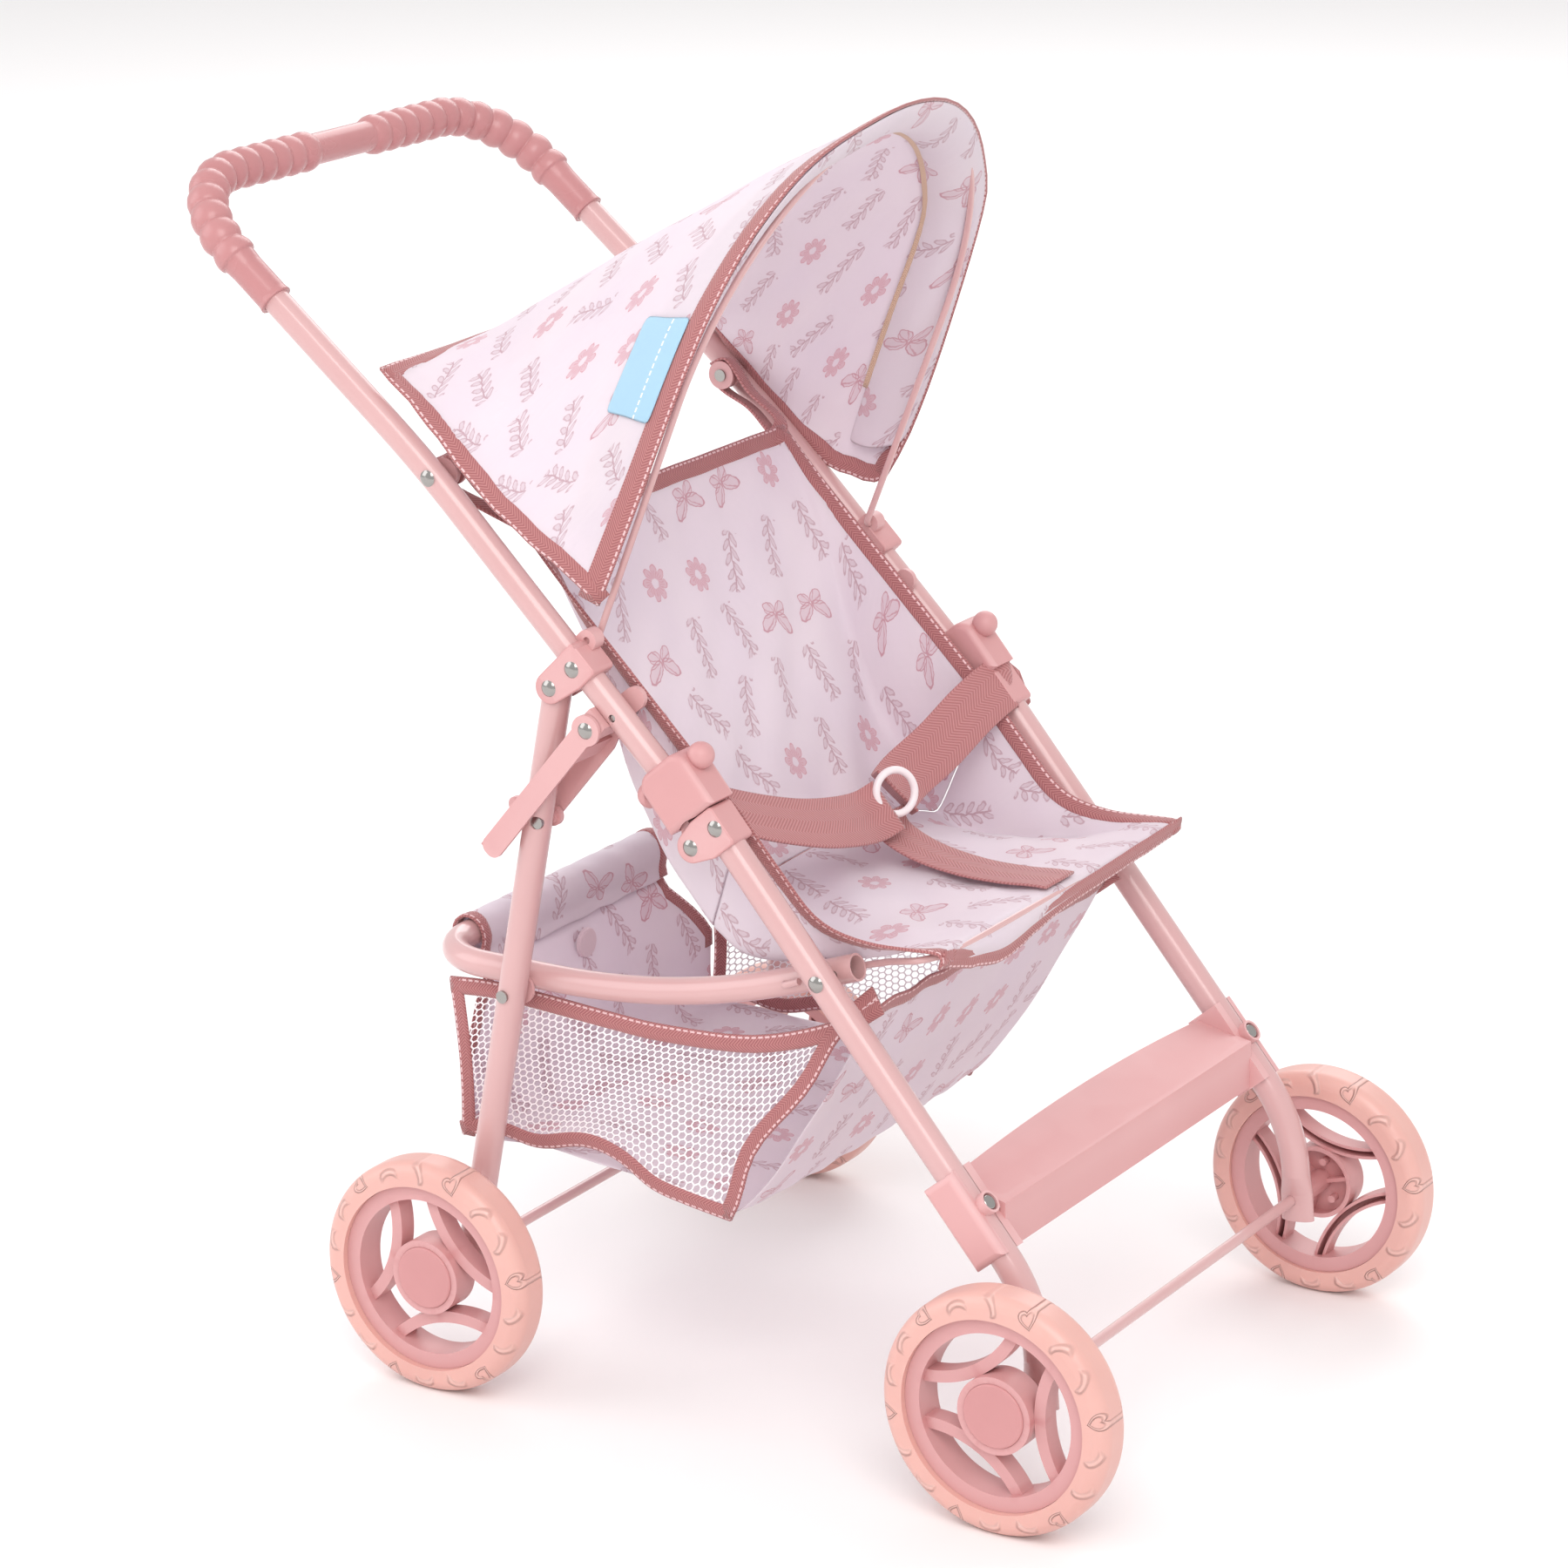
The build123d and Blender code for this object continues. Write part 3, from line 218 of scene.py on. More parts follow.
def cadFinish(name):
    if "tyre" in name:
        return tyreFront if name.startswith("front") else tyreRear
    if "wheel" in name or "hub_cap" in name:
        return wheelPlastic
    if name == "footrest":
        return footrestPlastic
    if "rivets" in name or "screws" in name or "nuts" in name:
        return rivetMetal
    if name == "belt_ring":
        return whitePlastic
    if name == "basket_snap":
        return snapPlastic
    if name in ("seat_hoop", "canopy_wire", "handle_tube", "basket_frame_tube", "front_axle", "rear_axle"):
        return tubePaint
    if "leg_" in name and "catch" not in name:
        return tubePaint
    return fittingPlastic


for name, cadObject in nodes.items():
    cadObject.data.materials.clear()
    cadObject.data.materials.append(cadFinish(name))
    for face in cadObject.data.polygons:
        face.material_index = 0
print("hard materials assigned")

# ---- cloth materials

fabricColours = {"cloth": "#F0E6EA", "lilac": "#E9DDE8", "rose": "#DBA9B4", "line": "#CBABB5", "deepRose": "#D09DA9"}


def printedPolyester(name, cell=31.0):
    # printed plain-weave polyester: matt, with small flowers, butterflies and sprigs scattered on a pale lilac ground
    material, tree, shader = newMaterial(name, {"Roughness": 0.82, "IOR": 1.45, "Sheen Weight": 0.25, "Sheen Roughness": 0.5,
                                                "Specular IOR Level": 0.25})
    uv = addNode(tree, "ShaderNodeUVMap", {"uv_map": "flat"})
    inCells = addNode(tree, "ShaderNodeVectorMath", {"operation": "MULTIPLY", 1: (1000 / cell, 1000 / cell, 0.0)}, {0: uv})
    rows = addNode(tree, "ShaderNodeSeparateXYZ", None, {0: inCells})
    rowNumber = addNode(tree, "ShaderNodeMath", {"operation": "FLOOR"}, {0: rows.outputs["Y"]})
    rowShift = addNode(tree, "ShaderNodeMath", {"operation": "MULTIPLY_ADD", 1: 0.5}, {0: rowNumber, 2: rows.outputs["X"]})
    staggered = addNode(tree, "ShaderNodeCombineXYZ", None, {"X": rowShift, "Y": rows.outputs["Y"]})
    cellId = addNode(tree, "ShaderNodeVectorMath", {"operation": "FLOOR"}, {0: staggered})
    inside = addNode(tree, "ShaderNodeVectorMath", {"operation": "FRACTION"}, {0: staggered})
    centred = addNode(tree, "ShaderNodeVectorMath", {"operation": "SUBTRACT", 1: (0.5, 0.5, 0.0)}, {0: inside})
    pick = addNode(tree, "ShaderNodeTexWhiteNoise", {"noise_dimensions": "2D"}, {"Vector": cellId})
    jitter = addNode(tree, "ShaderNodeVectorMath", {"operation": "MULTIPLY_ADD", 1: (0.16, 0.16, 0.0), 2: (-0.08, -0.08, 0.0)},
                     {0: pick.outputs["Color"]})
    moved = addNode(tree, "ShaderNodeVectorMath", {"operation": "ADD"}, {0: centred, 1: jitter})
    pickParts = addNode(tree, "ShaderNodeSeparateColor", None, {0: pick.outputs["Color"]})
    turn = addNode(tree, "ShaderNodeMath", {"operation": "MULTIPLY_ADD", 1: 1.3, 2: -0.65}, {0: pickParts.outputs[1]})
    turned = addNode(tree, "ShaderNodeVectorRotate", {"rotation_type": "Z_AXIS"}, {"Vector": moved, "Angle": turn})
    inMm = addNode(tree, "ShaderNodeVectorMath", {"operation": "SCALE", "Scale": cell}, {0: turned})
    wobble = addNode(tree, "ShaderNodeTexNoise", {"Scale": 0.35, "Detail": 1.0}, {"Vector": inMm})
    wobbled = addNode(tree, "ShaderNodeVectorMath", {"operation": "MULTIPLY_ADD", 1: (1.6, 1.6, 0.0)}, {0: wobble.outputs["Color"], 2: inMm})
    spot = addNode(tree, "ShaderNodeVectorMath", {"operation": "SUBTRACT", 1: (0.8, 0.8, 0.0)}, {0: wobbled})
    xy = addNode(tree, "ShaderNodeSeparateXYZ", None, {0: spot})
    x, y = xy.outputs["X"], xy.outputs["Y"]
    mirrorX = addNode(tree, "ShaderNodeMath", {"operation": "ABSOLUTE"}, {0: x})
    radius = addNode(tree, "ShaderNodeVectorMath", {"operation": "LENGTH"}, {0: spot})
    radiusOut = radius.outputs["Value"]
    angle = addNode(tree, "ShaderNodeMath", {"operation": "ARCTAN2"}, {0: y, 1: x})
    # flower: eight rounded petals out to 8.3 mm, a pale heart, and fine rays
    petalTurn = addNode(tree, "ShaderNodeMath", {"operation": "MULTIPLY", 1: 4.0}, {0: angle})
    petalWave = addNode(tree, "ShaderNodeMath", {"operation": "COSINE"}, {0: petalTurn})
    petalAbs = addNode(tree, "ShaderNodeMath", {"operation": "ABSOLUTE"}, {0: petalWave})
    petalSoft = addNode(tree, "ShaderNodeMath", {"operation": "POWER", 1: 0.55}, {0: petalAbs})
    petalEdge = addNode(tree, "ShaderNodeMath", {"operation": "MULTIPLY_ADD", 1: 4.0, 2: 4.3}, {0: petalSoft})
    petalGap = addNode(tree, "ShaderNodeMath", {"operation": "SUBTRACT"}, {0: petalEdge, 1: radiusOut})
    petalFill = addNode(tree, "ShaderNodeMapRange", {"From Min": -0.1, "From Max": 0.25}, {"Value": petalGap})
    petalInner = addNode(tree, "ShaderNodeMapRange", {"From Min": 0.5, "From Max": 0.8, "To Min": 1.0, "To Max": 0.55}, {"Value": petalGap})
    heartDisc = addNode(tree, "ShaderNodeMapRange", {"From Min": 2.0, "From Max": 2.4}, {"Value": radiusOut})
    rayTurn = addNode(tree, "ShaderNodeMath", {"operation": "MULTIPLY", 1: 24.0}, {0: angle})
    rayWave = addNode(tree, "ShaderNodeMath", {"operation": "SINE"}, {0: rayTurn})
    rayNear = addNode(tree, "ShaderNodeMapRange", {"From Min": 5.4, "From Max": 5.8, "To Min": 0.35, "To Max": 0.0}, {"Value": radiusOut})
    rays = addNode(tree, "ShaderNodeMath", {"operation": "MULTIPLY"}, {0: rayWave, 1: rayNear})
    rayLift = addNode(tree, "ShaderNodeMath", {"operation": "MAXIMUM", 1: 0.0}, {0: rays})
    petalTone = addNode(tree, "ShaderNodeMath", {"operation": "ADD"}, {0: petalInner, 1: rayLift})
    petalShade = addNode(tree, "ShaderNodeMath", {"operation": "MULTIPLY"}, {0: petalFill, 1: petalTone})
    flower = addNode(tree, "ShaderNodeMath", {"operation": "MULTIPLY"}, {0: petalShade, 1: heartDisc})
    # butterfly: two ellipses a side, drawn as outlines with veins
    wingPoint = addNode(tree, "ShaderNodeCombineXYZ", None, {"X": mirrorX, "Y": y})
    wings = []
    for centre, size, tilt in (((5.6, 3.0), (6.2, 3.3), 0.62), ((3.9, -3.2), (3.9, 3.0), -0.62)):
        shifted = addNode(tree, "ShaderNodeVectorMath", {"operation": "SUBTRACT", 1: (*centre, 0.0)}, {0: wingPoint})
        tilted = addNode(tree, "ShaderNodeVectorRotate", {"rotation_type": "Z_AXIS", "Angle": -tilt}, {"Vector": shifted})
        scaled = addNode(tree, "ShaderNodeVectorMath", {"operation": "DIVIDE", 1: (*size, 1.0)}, {0: tilted})
        reach = addNode(tree, "ShaderNodeVectorMath", {"operation": "LENGTH"}, {0: scaled})
        ring = addNode(tree, "ShaderNodeMath", {"operation": "SUBTRACT", 1: 0.96}, {0: reach.outputs["Value"]})
        ringAbs = addNode(tree, "ShaderNodeMath", {"operation": "ABSOLUTE"}, {0: ring})
        outline = addNode(tree, "ShaderNodeMapRange", {"From Min": 0.05, "From Max": 0.11, "To Min": 0.9, "To Max": 0.0}, {"Value": ringAbs})
        fill = addNode(tree, "ShaderNodeMapRange", {"From Min": 0.9, "From Max": 1.0, "To Min": 1.0, "To Max": 0.0}, {"Value": reach.outputs["Value"]})
        wings.append((outline, fill))
    veinTurn = addNode(tree, "ShaderNodeMath", {"operation": "MULTIPLY", 1: 11.0}, {0: angle})
    veinWave = addNode(tree, "ShaderNodeMath", {"operation": "SINE"}, {0: veinTurn})
    vein = addNode(tree, "ShaderNodeMapRange", {"From Min": 0.75, "From Max": 0.95, "To Min": 0.22, "To Max": 0.8}, {"Value": veinWave})
    wingFill = addNode(tree, "ShaderNodeMath", {"operation": "MAXIMUM"}, {0: wings[0][1], 1: wings[1][1]})
    wingInk = addNode(tree, "ShaderNodeMath", {"operation": "MULTIPLY"}, {0: wingFill, 1: vein})
    wingLine = addNode(tree, "ShaderNodeMath", {"operation": "MAXIMUM"}, {0: wings[0][0], 1: wings[1][0]})
    butterfly = addNode(tree, "ShaderNodeMath", {"operation": "MAXIMUM"}, {0: wingInk, 1: wingLine})
    # sprig: a bent stem with thin pointed leaves on alternate sides, 6.4 mm apart
    bend = addNode(tree, "ShaderNodeMath", {"operation": "MULTIPLY", 1: 0.16}, {0: y})
    bendWave = addNode(tree, "ShaderNodeMath", {"operation": "SINE"}, {0: bend})
    stemX = addNode(tree, "ShaderNodeMath", {"operation": "MULTIPLY_ADD", 1: -1.8}, {0: bendWave, 2: x})
    stemOff = addNode(tree, "ShaderNodeMath", {"operation": "ABSOLUTE"}, {0: stemX})
    stem = addNode(tree, "ShaderNodeMapRange", {"From Min": 0.2, "From Max": 0.45, "To Min": 1.0, "To Max": 0.0}, {"Value": stemOff})
    rightSide = addNode(tree, "ShaderNodeMath", {"operation": "GREATER_THAN", 1: 0.0}, {0: stemX})
    halfStep = addNode(tree, "ShaderNodeMath", {"operation": "MULTIPLY_ADD", 1: 0.5}, {0: rightSide, 2: pick.outputs["Value"]})
    leafRow = addNode(tree, "ShaderNodeMath", {"operation": "MULTIPLY_ADD", 1: 1 / 6.4}, {0: y, 2: halfStep})
    leafPart = addNode(tree, "ShaderNodeMath", {"operation": "FRACT"}, {0: leafRow})
    leafY = addNode(tree, "ShaderNodeMath", {"operation": "MULTIPLY_ADD", 1: 6.4, 2: -3.2}, {0: leafPart})
    leafPoint = addNode(tree, "ShaderNodeCombineXYZ", None, {"X": stemOff, "Y": leafY})
    leafShift = addNode(tree, "ShaderNodeVectorMath", {"operation": "SUBTRACT", 1: (2.3, 0.0, 0.0)}, {0: leafPoint})
    leafTurn = addNode(tree, "ShaderNodeVectorRotate", {"rotation_type": "Z_AXIS", "Angle": -0.95}, {"Vector": leafShift})
    leafScale = addNode(tree, "ShaderNodeVectorMath", {"operation": "DIVIDE", 1: (3.3, 1.15, 1.0)}, {0: leafTurn})
    leafReach = addNode(tree, "ShaderNodeVectorMath", {"operation": "LENGTH"}, {0: leafScale})
    leafFill = addNode(tree, "ShaderNodeMapRange", {"From Min": 0.85, "From Max": 1.05, "To Min": 0.3, "To Max": 0.0}, {"Value": leafReach.outputs["Value"]})
    leafRing = addNode(tree, "ShaderNodeMath", {"operation": "SUBTRACT", 1: 0.95}, {0: leafReach.outputs["Value"]})
    leafRingAbs = addNode(tree, "ShaderNodeMath", {"operation": "ABSOLUTE"}, {0: leafRing})
    leafLine = addNode(tree, "ShaderNodeMapRange", {"From Min": 0.12, "From Max": 0.3, "To Min": 0.8, "To Max": 0.0}, {"Value": leafRingAbs})
    leaf = addNode(tree, "ShaderNodeMath", {"operation": "MAXIMUM"}, {0: leafFill, 1: leafLine})
    sprigInk = addNode(tree, "ShaderNodeMath", {"operation": "MAXIMUM"}, {0: stem, 1: leaf})
    yAbs = addNode(tree, "ShaderNodeMath", {"operation": "ABSOLUTE"}, {0: y})
    sprigEnd = addNode(tree, "ShaderNodeMapRange", {"From Min": 13.5, "From Max": 14.2, "To Min": 1.0, "To Max": 0.0}, {"Value": yAbs})
    sprig = addNode(tree, "ShaderNodeMath", {"operation": "MULTIPLY"}, {0: sprigInk, 1: sprigEnd})
    # each cell holds one motif: about a quarter flowers, one in seven a butterfly, and sprigs between
    isFlower = addNode(tree, "ShaderNodeMath", {"operation": "LESS_THAN", 1: 0.3}, {0: pick.outputs["Value"]})
    isWing = addNode(tree, "ShaderNodeMath", {"operation": "GREATER_THAN", 1: 0.84}, {0: pick.outputs["Value"]})
    plainShare = addNode(tree, "ShaderNodeMath", {"operation": "ADD"}, {0: isFlower, 1: isWing})
    isSprig = addNode(tree, "ShaderNodeMath", {"operation": "SUBTRACT", 0: 1.0}, {1: plainShare})
    flowerMask = addNode(tree, "ShaderNodeMath", {"operation": "MULTIPLY"}, {0: flower, 1: isFlower})
    wingMask = addNode(tree, "ShaderNodeMath", {"operation": "MULTIPLY"}, {0: butterfly, 1: isWing})
    sprigMask = addNode(tree, "ShaderNodeMath", {"operation": "MULTIPLY"}, {0: sprig, 1: isSprig})
    cloud = addNode(tree, "ShaderNodeTexNoise", {"Scale": 18.0, "Detail": 3.0}, {"Vector": uv})
    ground = addNode(tree, "ShaderNodeMix", {"data_type": "RGBA", 6: toLinear(fabricColours["cloth"]), 7: toLinear(fabricColours["lilac"])}, {0: cloud})
    withSprig = addNode(tree, "ShaderNodeMix", {"data_type": "RGBA", 7: toLinear(fabricColours["line"])}, {0: sprigMask, 6: ground.outputs[2]})
    withWing = addNode(tree, "ShaderNodeMix", {"data_type": "RGBA", 7: toLinear(fabricColours["deepRose"])}, {0: wingMask, 6: withSprig.outputs[2]})
    withFlower = addNode(tree, "ShaderNodeMix", {"data_type": "RGBA", 7: toLinear(fabricColours["rose"])}, {0: flowerMask, 6: withWing.outputs[2]})
    # the real threads are 0.25 mm apart; they are drawn 0.9 mm apart so that they show
    warp = addNode(tree, "ShaderNodeTexWave", {"bands_direction": "X", "Scale": 1000 / 0.9 / 20, "Distortion": 0.4}, {"Vector": uv})
    weft = addNode(tree, "ShaderNodeTexWave", {"bands_direction": "Y", "Scale": 1000 / 0.9 / 20, "Distortion": 0.4}, {"Vector": uv})
    weave = addNode(tree, "ShaderNodeMath", {"operation": "MULTIPLY"}, {0: warp.outputs["Fac"], 1: weft.outputs["Fac"]})
    crease = addNode(tree, "ShaderNodeTexNoise", {"Scale": 26.0, "Detail": 3.0, "Distortion": 0.8}, {"Vector": uv})
    fineBump = addNode(tree, "ShaderNodeBump", {"Strength": 0.18, "Distance": 0.0002}, {"Height": weave})
    softBump = addNode(tree, "ShaderNodeBump", {"Strength": 0.35, "Distance": 0.003}, {"Height": crease, "Normal": fineBump})
    tree.links.new(withFlower.outputs[2], shader.inputs["Base Color"])
    tree.links.new(softBump.outputs[0], shader.inputs["Normal"])
    # some light passes through the thin cloth
    through = addNode(tree, "ShaderNodeBsdfTranslucent", None, {"Color": withFlower.outputs[2]})
    mixed = addNode(tree, "ShaderNodeMixShader", {0: 0.28}, {1: shader, 2: through})
    output = next(n for n in tree.nodes if n.type == "OUTPUT_MATERIAL")
    tree.links.new(mixed.outputs[0], output.inputs["Surface"])
    return material


def twillTape(name, colour, stripe=1.5, zigzag=4.5, stitchAt=None):
    # woven polyester twill tape: raised diagonal ribs that change direction in a herringbone, and a pale running stitch
    material, tree, shader = newMaterial(name, {"Roughness": 0.7, "IOR": 1.45, "Sheen Weight": 0.3, "Sheen Roughness": 0.4,
                                                "Specular IOR Level": 0.3})
    uv = addNode(tree, "ShaderNodeUVMap", {"uv_map": "flat"})
    parts = addNode(tree, "ShaderNodeSeparateXYZ", None, {0: uv})
    along = addNode(tree, "ShaderNodeMath", {"operation": "MULTIPLY", 1: 1000.0}, {0: parts.outputs["X"]})
    across = addNode(tree, "ShaderNodeMath", {"operation": "MULTIPLY", 1: 1000.0}, {0: parts.outputs["Y"]})
    fold = addNode(tree, "ShaderNodeMath", {"operation": "PINGPONG", 1: zigzag}, {0: across})
    slant = addNode(tree, "ShaderNodeMath", {"operation": "ADD"}, {0: along, 1: fold})
    ribTurn = addNode(tree, "ShaderNodeMath", {"operation": "MULTIPLY", 1: math.tau / stripe}, {0: slant})
    rib = addNode(tree, "ShaderNodeMath", {"operation": "SINE"}, {0: ribTurn})
    ribShare = addNode(tree, "ShaderNodeMapRange", {"From Min": -1.0, "From Max": 1.0}, {"Value": rib})
    # painted shade and highlight: the rib valleys take the deep colour and the crests the base colour, following the
    # rib height that also drives the bump
    tint = addNode(tree, "ShaderNodeMix", {"data_type": "RGBA", 6: toLinear(colour["deep"]), 7: toLinear(colour["base"])}, {0: ribShare})
    colourOut = tint.outputs[2]
    height = ribShare
    if stitchAt is not None:
        off = addNode(tree, "ShaderNodeMath", {"operation": "SUBTRACT", 1: stitchAt}, {0: across})
        offAbs = addNode(tree, "ShaderNodeMath", {"operation": "ABSOLUTE"}, {0: off})
        onLine = addNode(tree, "ShaderNodeMath", {"operation": "LESS_THAN", 1: 0.42}, {0: offAbs})
        step = addNode(tree, "ShaderNodeMath", {"operation": "MULTIPLY", 1: 1 / 3.4}, {0: along})
        stepPart = addNode(tree, "ShaderNodeMath", {"operation": "FRACT"}, {0: step})
        dash = addNode(tree, "ShaderNodeMath", {"operation": "LESS_THAN", 1: 0.66}, {0: stepPart})
        stitch = addNode(tree, "ShaderNodeMath", {"operation": "MULTIPLY"}, {0: onLine, 1: dash})
        stitched = addNode(tree, "ShaderNodeMix", {"data_type": "RGBA", 7: toLinear(colour["thread"])}, {0: stitch, 6: colourOut})
        colourOut = stitched.outputs[2]
        height = addNode(tree, "ShaderNodeMath", {"operation": "ADD"}, {0: ribShare, 1: stitch})
    bump = addNode(tree, "ShaderNodeBump", {"Strength": 0.55, "Distance": 0.0004}, {"Height": height})
    tree.links.new(colourOut, shader.inputs["Base Color"])
    tree.links.new(bump.outputs[0], shader.inputs["Normal"])
    return material


def knittedNet(name, hole=3.6):
    # warp-knitted polyester net: white threads round six-sided holes
    material, tree, shader = newMaterial(name, {"Base Color": toLinear("#F2ECEE"), "Roughness": 0.7, "Sheen Weight": 0.2,
                                                "Specular IOR Level": 0.3})
    uv = addNode(tree, "ShaderNodeUVMap", {"uv_map": "flat"})
    scaled = addNode(tree, "ShaderNodeVectorMath", {"operation": "SCALE", "Scale": 1000 / hole}, {0: uv})
    tall = math.sqrt(3)
    cells = []
    for shift in ((0.0, 0.0, 0.0), (0.5, tall / 2, 0.0)):
        moved = addNode(tree, "ShaderNodeVectorMath", {"operation": "ADD", 1: (shift[0] + 500.0, shift[1] + 500 * tall, 0.0)}, {0: scaled})
        wrapped = addNode(tree, "ShaderNodeVectorMath", {"operation": "MODULO", 1: (1.0, tall, 1.0)}, {0: moved})
        centred = addNode(tree, "ShaderNodeVectorMath", {"operation": "SUBTRACT", 1: (0.5, tall / 2, 0.0)}, {0: wrapped})
        bent = addNode(tree, "ShaderNodeVectorMath", {"operation": "ABSOLUTE"}, {0: centred})
        lean = addNode(tree, "ShaderNodeVectorMath", {"operation": "DOT_PRODUCT", 1: (0.5, tall / 2, 0.0)}, {0: bent})
        flat = addNode(tree, "ShaderNodeSeparateXYZ", None, {0: bent})
        cells.append(addNode(tree, "ShaderNodeMath", {"operation": "MAXIMUM"}, {0: lean.outputs["Value"], 1: flat.outputs["X"]}))
    nearest = addNode(tree, "ShaderNodeMath", {"operation": "MINIMUM"}, {0: cells[0], 1: cells[1]})
    thread = addNode(tree, "ShaderNodeMapRange", {"From Min": 0.375, "From Max": 0.42}, {"Value": nearest})
    bump = addNode(tree, "ShaderNodeBump", {"Strength": 0.5, "Distance": 0.0005}, {"Height": nearest})
    tree.links.new(thread.outputs[0], shader.inputs["Alpha"])
    tree.links.new(bump.outputs[0], shader.inputs["Normal"])
    return material


tapes = {
    "binding": {"base": "#BC8080", "deep": "#9C5F60", "thread": "#E8C4C6"},
    "belt": {"base": "#C18788", "deep": "#A66A6A", "thread": "#D9A9AA"},
    "seam": {"base": "#D9B9A4", "deep": "#C2A088", "thread": "#E8D2C0"},
    "label": {"base": "#B9DDF2", "deep": "#A4CFEA", "thread": "#FFFFFF"},
}
printCloth = printedPolyester("printedPolyester")
bindingTape = twillTape("twillBindingTape", tapes["binding"], 1.5, 4.6, 1.2)
beltWebbing = twillTape("herringboneWebbing", tapes["belt"], 1.9, 6.0)
seamThread = twillTape("overlockThread", tapes["seam"], 1.2, 1.6)
labelSatin = twillTape("satinLabel", tapes["label"], 0.6, 300.0, 9.0)
net = knittedNet("knittedNet")
print("cloth materials made")

# ---- mesh helpers


def finishMesh(name, verts, faces, uvs, material, smooth=True):
    mesh = bpy.data.meshes.new(name)
    mesh.from_pydata([tuple(v) for v in verts], [], faces)
    layer = mesh.uv_layers.new(name="flat")
    for loop in mesh.loops:
        layer.data[loop.index].uv = uvs[loop.vertex_index]
    mesh.materials.append(material)
    for face in mesh.polygons:
        face.use_smooth = smooth
    made = bpy.data.objects.new(name, mesh)
    bpy.context.scene.collection.objects.link(made)
    return made


def sheetFromRows(name, rows, material, thickness=0.0008, detail=1, turn=0.0):
    # rows of points make one continuous cloth; its flat lengths, in metres, give the print and weave their size
    columns = len(rows[0])
    verts = [p for row in rows for p in row]
    down = [0.0]
    middle = columns // 2
    for i in range(1, len(rows)):
        down.append(down[-1] + (rows[i][middle] - rows[i - 1][middle]).length)
    uvs = []
    for i, row in enumerate(rows):
        left = [0.0]
        for j in range(1, columns):
            left.append(left[-1] + (row[j] - row[j - 1]).length)
        flat = [(a - left[middle], down[i]) for a in left]
        uvs += [(a * math.cos(turn) - b * math.sin(turn), a * math.sin(turn) + b * math.cos(turn)) for a, b in flat]
    faces = []
    for i in range(len(rows) - 1):
        for j in range(columns - 1):
            a = i * columns + j
            faces.append((a, a + 1, a + columns + 1, a + columns))
    made = finishMesh(name, verts, faces, uvs, material)
    if thickness:
        solid = made.modifiers.new("thickness", "SOLIDIFY")
        solid.thickness = thickness
        solid.offset = 0.0
    if detail:
        smooth = made.modifiers.new("smooth", "SUBSURF")
        smooth.levels = detail
        smooth.render_levels = detail
    return made


def smoothLine(points, steps):
    # a Catmull-Rom curve through the points
    padded = [points[0] * 2 - points[1], *points, points[-1] * 2 - points[-2]]
    out = []
    for i in range(1, len(padded) - 2):
        a, b, c, d = padded[i - 1:i + 3]
        for k in range(steps):
            t = k / steps
            out.append(0.5 * ((2 * b) + (c - a) * t + (2 * a - 5 * b + 4 * c - d) * t * t + (3 * b - a - 3 * c + d) * t ** 3))
    out.append(points[-1].copy())
    return out


def resample(points, count):
    lengths = [0.0]
    for a, b in zip(points, points[1:]):
        lengths.append(lengths[-1] + (b - a).length)
    out = []
    k = 0
    for i in range(count):
        target = lengths[-1] * i / (count - 1)
        while k < len(points) - 2 and lengths[k + 1] < target:
            k += 1
        span = max(lengths[k + 1] - lengths[k], 1e-9)
        out.append(points[k].lerp(points[k + 1], min(1.0, max(0.0, (target - lengths[k]) / span))))
    return out


def tapeAlong(name, line, inward, material, width=0.009, thickness=0.0017, closed=False):
    # a folded binding: a flat oval section that wraps the edge and reaches inward over the cloth
    count = len(line)
    ringSize = 12
    verts, uvs, faces = [], [], []
    travelled = 0.0
    for i, point in enumerate(line):
        before = line[max(i - 1, 0)]
        after = line[min(i + 1, count - 1)]
        forward = (after - before).normalized()
        side = inward[i] - forward * inward[i].dot(forward)
        side = side.normalized()
        face = forward.cross(side).normalized()
        if i:
            travelled += (point - line[i - 1]).length
        for k in range(ringSize):
            turn = math.tau * k / ringSize
            across = (1 - math.cos(turn)) / 2
            lift = math.sin(turn)
            lift = math.copysign(abs(lift) ** 0.45, lift)
            offset = side * (across * width - thickness * 0.5) + face * (lift * thickness / 2)
            verts.append(point + offset)
            uvs.append((travelled, across * width))
    for i in range(count - 1):
        for k in range(ringSize):
            a = i * ringSize + k
            b = i * ringSize + (k + 1) % ringSize
            faces.append((a, b, b + ringSize, a + ringSize))
    faces.append(tuple(range(ringSize - 1, -1, -1)))
    faces.append(tuple(range((count - 1) * ringSize, count * ringSize)))
    return finishMesh(name, verts, faces, uvs, material)


